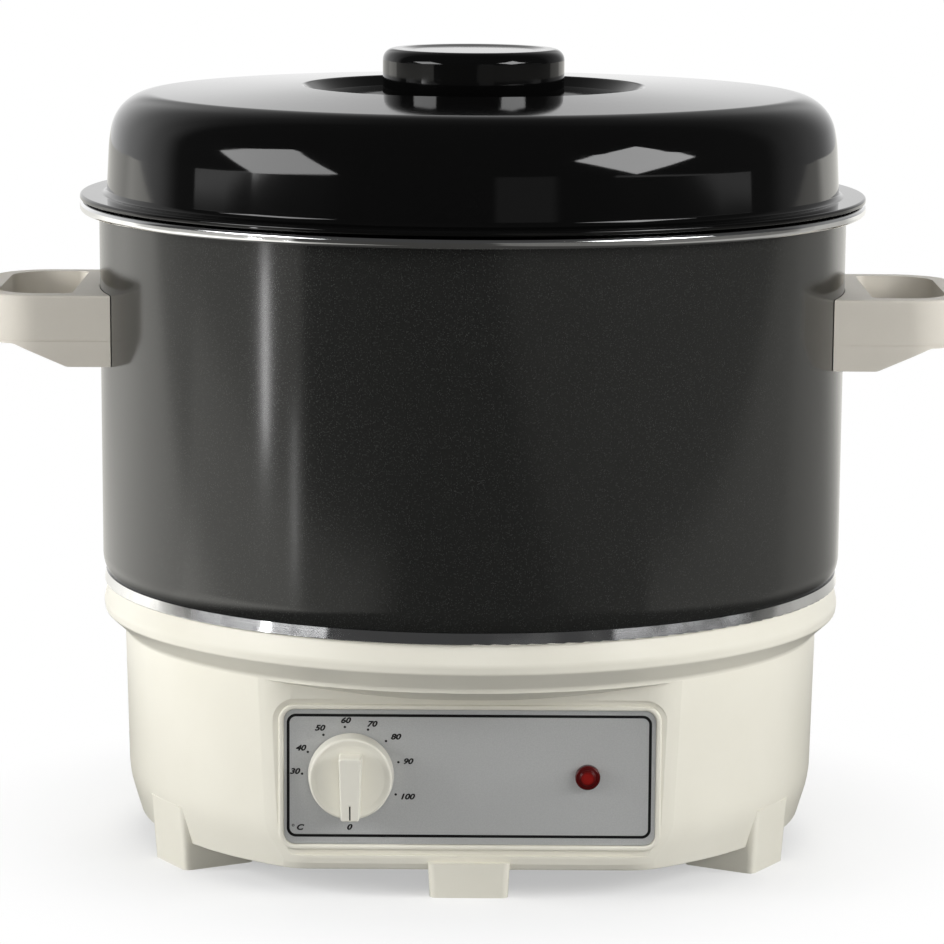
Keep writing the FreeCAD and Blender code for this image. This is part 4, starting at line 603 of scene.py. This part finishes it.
def make_pot():
    """Pressed steel pot, a little narrower below, with a rolled lip."""
    lip = POT_TOP - 2.8
    low_r = POT_R - POT_DRAFT
    floor = POT_LOW + POT_WALL
    return spun("enamel_pot", outline([
        (0, POT_LOW, 0), (low_r, POT_LOW, POT_ROUND), (POT_R, lip, 1.0), (POT_ROLL_R, lip, 1.12),
        (POT_ROLL_R, POT_TOP, 1.12), (POT_R - POT_WALL, POT_TOP, 1.4),
        (low_r - POT_WALL, floor, POT_ROUND - POT_WALL), (0, floor, 0),
    ], 18), 224)


def make_rim():
    """Channel of bright sheet with rolled edges over the rim of the pot."""
    top = POT_TOP + 1.1
    low = POT_TOP - 3.9
    edge = 1.9
    sheet = 1.0
    inside = FLANGE_R - sheet
    top_r = 177.9
    low_r = 179.3
    return spun("bright_rim", outline([
        (low_r, low, 0.2), (FLANGE_R, low, edge), (FLANGE_R, top, edge), (top_r, top, 0.2),
        (top_r, top - sheet, 0), (inside, top - sheet, edge - sheet),
        (inside, low + sheet, edge - sheet), (low_r, low + sheet, 0),
    ], 24), 224)


def make_lid():
    """Dome with a finger recess round its middle, a shoulder rounded in two steps, a flange and a collar."""
    edge_of_recess = RECESS + 5.0
    outer = [
        (33.0, RECESS, 4.0), (74.0, edge_of_recess, 1.0), (79.8, LID_TOP, 2.5), (165.7, 351.0, 19.9),
        (170.13, 330.7, 63.0), (171.46, FLANGE_TOP, 2.5), (FLANGE_R, FLANGE_TOP, 1.1),
        (FLANGE_R, FLANGE_LOW, 0.5), (171.6, FLANGE_LOW, 0.3), (171.9, LID_LOW, 0.4),
    ]
    inner = [
        (169.4, LID_LOW, 0.4), (167.6, 330.7, 60.0), (163.5, 348.6, 17.4), (79.2, LID_TOP - LID_WALL, 1.5),
        (73.6, edge_of_recess - LID_WALL, 1.0), (33.0, RECESS - LID_WALL, 4.0),
        (LID_HOLE_R, RECESS - LID_WALL, 0), (LID_HOLE_R, RECESS, 0),
    ]
    return spun("lid_dome", outline(outer + inner, 28), 256)


def make_knob():
    """Thick round grip with a shallow dish on top, on a narrower neck that is open below."""
    return spun("lid_grip", outline([
        (NECK_R, RECESS, 0), (NECK_R, KNOB_LOW, 0.5), (KNOB_R, KNOB_LOW, 3.0), (KNOB_R, KNOB_TOP, 5.2),
        (34.0, KNOB_TOP, 3.0), (28.0, KNOB_TOP - KNOB_DISH, 8.0), (0, KNOB_TOP - KNOB_DISH, 0),
        (0, NECK_BORE_TOP, 0), (NECK_BORE, NECK_BORE_TOP, 1.0), (NECK_BORE, RECESS, 0),
    ], 24), 160)


def make_lens():
    """Flat round cap with a rolled edge and a low dome in its middle."""
    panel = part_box("control_panel")[0].y
    depth = (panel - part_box("pilot_lens")[0].y) / MM
    step = depth * 0.75
    lens = spun("lens_cap", outline([
        (0, -0.1, 0), (LENS_R, -0.1, 0), (LENS_R, step, 1.0), (LENS_DOME_R + 0.4, step, 0.6),
        (LENS_DOME_R, depth, 0.5), (0, depth, 0),
    ], 16), 64)
    x, z = LENS_AT
    lens.data.transform(Matrix.Translation((x * MM, panel, z * MM)) @ UPRIGHT)
    return lens


REPLACED = (                # maker, the node it stands for, the body it rides
    (make_pot, "pot", "melter"),
    (make_rim, "rim_ring", "melter"),
    (make_lid, "lid_shell", "lid"),
    (make_knob, "lid_knob", "lid"),
    (make_lens, "pilot_lens", "melter"),
)


# ---------------------------------------------------------------- surroundings

AIR = 0.27                  # strength of the room's even light
AIR_ABOVE = 0.18            # how much less of it comes from above
FLOOR_SIZE = 6.0
FLOOR_FADE = (0.13, 0.27)   # lit paper turns to plain white over these distances from the middle
FLOOR_WHITE = 0.45          # share of plain white close to the object
FLOOR_COLOR = (0.86, 0.86, 0.86)
FLOOR_BOUNCE = (0.33, 0.33, 0.33)

# What gloss sees of the room: strengths, and edges from point to point on the table, in metres.
WARM = (1.0, 0.985, 0.93)
DARK_ROOM = 0.05
WINDOW = 0.12
BACK_PAPER = 0.95
LEFT_TABLE = 0.43
LEFT_SHEET = 0.41
LEFT_PAPER = 0.60
LEFT_FADE = 0.40
RIGHT_ROOM = 0.11
RIGHT_CLOTH = 0.34
RIGHT_PAPER = 0.42
RIGHT_FAR = 0.50
LEFT_TABLE_EDGE = ((-1.15, -0.98), (-0.68, -0.615))
LEFT_SHEET_END = ((-2.23, -0.03), (-1.70, -0.46))
LEFT_SHEET_SIDE = ((-1.70, -0.48), (-0.90, -0.75))
LEFT_PAPER_EDGE = ((-2.40, 0.75), (-0.60, -0.30))
RIGHT_CLOTH_END = ((0.76, -0.62), (2.05, 0.20))
RIGHT_CLOTH_SIDE = ((0.08, -0.155), (0.885, -0.715))
RIGHT_PAPER_EDGE = ((0.86, 0.10), (2.30, 0.86))


def make_world():
    """White for the camera; for gloss, a dim room in front that grows pale towards the back."""
    world = bpy.data.worlds.new("studio")
    bpy.context.scene.world = world
    n = Nodes(world)
    x, y, z = n.parts(n.add("ShaderNodeTexCoord"))
    pale = 0.42 * y.ramp(0.22, 0.45) + 0.25 * y.ramp(0.42, 0.68) + 0.30 * y.ramp(0.70, 0.97)
    fade = 1.0 - 0.9 * z.ramp(0.10, 0.85)
    dim_right = 1.0 - 0.68 * x.ramp(0.0, 0.75)
    dim_middle = 1.0 - 0.65 * z.ramp(0.07, 0.25) * (1.0 - x.magnitude().ramp(0.10, 0.30))
    window = x.ramp(0.10, 0.14) * (1.0 - x.ramp(0.40, 0.46)) * (1.0 - y.ramp(-0.3, 0.0))
    window = window * (1.0 - z.ramp(0.050, 0.058))
    mirror = DARK_ROOM + pale * fade * dim_right * dim_middle + window * WINDOW

    def sky(strength):
        return n.add("ShaderNodeBackground", inputs={0: (1, 1, 1), 1: strength})

    mirrored = n.for_ray("Is Glossy Ray", sky(AIR - AIR_ABOVE * z.ramp(0.15, 0.85)), sky(mirror))
    n.close(n.for_ray("Is Camera Ray", mirrored, sky(1.0)), "ShaderNodeOutputWorld")


def side_of(x, y, edge, soft=0.03):
    """Rises from 0 to 1 across the edge from its start to its end, on its left-hand side."""
    start, end = edge
    along = (Vector(end) - Vector(start)).normalized()
    return ((y - start[1]) * along.x - (x - start[0]) * along.y).ramp(-soft, soft)


def table_in_gloss(n):
    """How bright gloss sees the table: sheets on the left, a cloth on the right, paper behind."""
    x, y, _ = n.axes()
    on_left = 1.0 - x.ramp(-0.45, -0.25)
    table = side_of(x, y, LEFT_TABLE_EDGE, 0.02)
    sheet = side_of(x, y, LEFT_SHEET_END).below(side_of(x, y, LEFT_SHEET_SIDE))
    sheet = sheet * (1.0 - 0.6 * y.ramp(-0.03, 0.03))
    paper = side_of(x, y, LEFT_PAPER_EDGE, 0.12)
    left = table * LEFT_TABLE + sheet * LEFT_SHEET + paper * LEFT_PAPER - (x + y).ramp(-0.6, 0.6) * LEFT_FADE
    on_right = x.ramp(0.3, 0.5)
    cloth = side_of(x, y, RIGHT_CLOTH_END, 0.05) * side_of(x, y, RIGHT_CLOTH_SIDE, 0.02)
    back = side_of(x, y, RIGHT_PAPER_EDGE, 0.15)
    right = (cloth * RIGHT_CLOTH).above(back * RIGHT_PAPER + (y - x).ramp(-0.2, 0.9) * RIGHT_FAR)
    right = right.above(RIGHT_ROOM)
    middle = (1.0 - on_left - on_right).above(0.0) * y.ramp(0.15, 0.7) * BACK_PAPER
    return DARK_ROOM + left * on_left + right * on_right + middle


def make_floor():
    """Pale paper under the object that runs out into white; gloss sees the table instead."""
    bm = bmesh.new()
    bmesh.ops.create_grid(bm, x_segments=1, y_segments=1, size=FLOOR_SIZE)
    floor = finished("floor", bm)
    material = bpy.data.materials.new("floor")
    n = Nodes(material)
    x, y, _ = n.axes()
    away = (x * x + y * y).root()
    lit = n.add("ShaderNodeBsdfDiffuse", inputs={0: FLOOR_COLOR})
    dull = n.add("ShaderNodeBsdfDiffuse", inputs={0: FLOOR_BOUNCE})
    seen = n.either(away.ramp(*FLOOR_FADE, FLOOR_WHITE, 1.0), lit, n.glow(1.0))
    shade = n.for_ray("Is Camera Ray", dull, seen)
    n.close(n.for_ray("Is Glossy Ray", shade, n.glow(table_in_gloss(n), WARM)))
    dress(floor, material)


LONG_SIDE = 14.0            # degrees


def bowed(*corners):
    """Corners with a point halfway along each long side, so that these sides bend round the object."""
    found = []
    for here, after in zip(corners, corners[1:] + corners[:1]):
        found.append(here)
        if abs(after[0] - here[0]) > LONG_SIDE:
            found.append(((here[0] + after[0]) / 2, (here[1] + after[1]) / 2))
    return found


# Luminous sheets that stand round the object: distance in metres, strength, and corners as
# degrees from the front to the right and height in metres.
SOFTBOXES = {
    "soft_left": (1.6, 5.2, bowed((-81.9, 0.61), (-56.4, 0.84), (-39.6, 0.39), (-67.7, 0.315))),
    "soft_right": (1.6, 7.0, bowed((30.0, 0.705), (40.0, 0.85), (53.7, 1.26), (60.2, 0.805),
                                   (69.8, 0.63), (48.5, 0.40))),
}
STRIPS = {
    "strip_left": (1.143, 10.5, [(-61.2, 0.175), (-59.2, 0.175), (-59.2, 0.050), (-61.2, 0.050)]),
    "strip_edge": (0.946, 5.0, [(-50.45, 0.096), (-49.6, 0.096), (-49.6, 0.002), (-50.45, 0.002)]),
}
WALL_AWAY = 12.0
# Degrees from the front, and the height of the band's lower and upper edge in metres.
WALL_BAND = ((44.0, 0.64, 0.84), (62.0, 0.44, 0.60), (82.0, 0.10, 0.26), (95.0, 0.00, 0.10))
WALL_SIDES = (("wall_left", -1, 1.1), ("wall_right", 1, 0.62))      # name, side, strength


def luminous_sheet(name, distance, strength, corners):
    """One face that glows evenly and that the camera doesn't see."""
    bm = bmesh.new()
    points = []
    for turn, height in corners:
        angle = math.radians(turn)
        points.append(bm.verts.new((distance * math.sin(angle), -distance * math.cos(angle), height)))
    bm.faces.new(points)
    sheet = finished(name, bm)
    material = bpy.data.materials.new(name)
    n = Nodes(material)
    n.close(n.glow(strength))
    dress(sheet, material)
    sheet.visible_camera = False


def far_wall():
    """Pale band along the far wall on both sides, in flat lengths."""
    for i, (start, end) in enumerate(zip(WALL_BAND, WALL_BAND[1:])):
        for name, side, strength in WALL_SIDES:
            corners = [(start[0] * side, start[1]), (start[0] * side, start[2]),
                       (end[0] * side, end[2]), (end[0] * side, end[1])]
            luminous_sheet("%s_%d" % (name, i), WALL_AWAY, strength, corners)


LAMPS = (                   # name, place, height of its aim on the axis, size, power in watts
    ("top", (-0.2, -1.3, 2.3), 0.10, 0.9, 3.0),
    ("front", (0.1, -3.0, 0.55), 0.10, 0.9, 17.5),
    ("left", (-2.1, -0.4, 0.8), 0.15, 0.9, 44.0),
    ("right", (2.0, -0.4, 0.9), 0.15, 0.9, 23.0),
    ("back", (0.3, 1.9, 1.2), 0.20, 1.4, 24.0),
)


def area_lamp(name, place, aim_height, size, power):
    """Round soft lamp that gloss doesn't mirror."""
    data = bpy.data.lights.new(name, "AREA")
    data.shape = "DISK"
    data.size = size
    data.energy = power
    lamp = bpy.data.objects.new(name, data)
    aim = Vector((0.0, 0.0, aim_height)) - Vector(place)
    lamp.matrix_world = Matrix.Translation(place) @ aim.to_track_quat("-Z", "Y").to_matrix().to_4x4()
    lamp.visible_glossy = False
    bpy.context.scene.collection.objects.link(lamp)


def make_lights():
    for name, sheet in SOFTBOXES.items():
        luminous_sheet(name, *sheet)
    far_wall()
    for name, sheet in STRIPS.items():
        luminous_sheet(name, *sheet)
    for row in LAMPS:
        area_lamp(*row)


# ---------------------------------------------------------------- all together

def main():
    make_camera()
    finishes = make_finishes()
    slots = {row["node"]: row["material_slot"] for row in frame["record"]["subparts"]}
    for name, node in nodes.items():
        dress(node, finishes[slots[name]])
    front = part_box("control_panel")[0].y - INK_LIFT
    ink = printing_ink()
    for text, x, z in NUMBERS:
        printed_number(text, x, z, front, ink)
    degree_ring(front, ink)
    # the ink finish also paints the shade in the knob's engraved pointer groove
    groove_shade_mark(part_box("thermostat_knob")[0].y, ink)
    for make, node, body in REPLACED:
        piece = make()
        dress(piece, finishes[slots[node]])
        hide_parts(node)
        ride_and_slot(piece, body)
    make_floor()
    make_world()
    make_lights()
    bpy.context.scene.view_settings.view_transform = "Standard"


main()
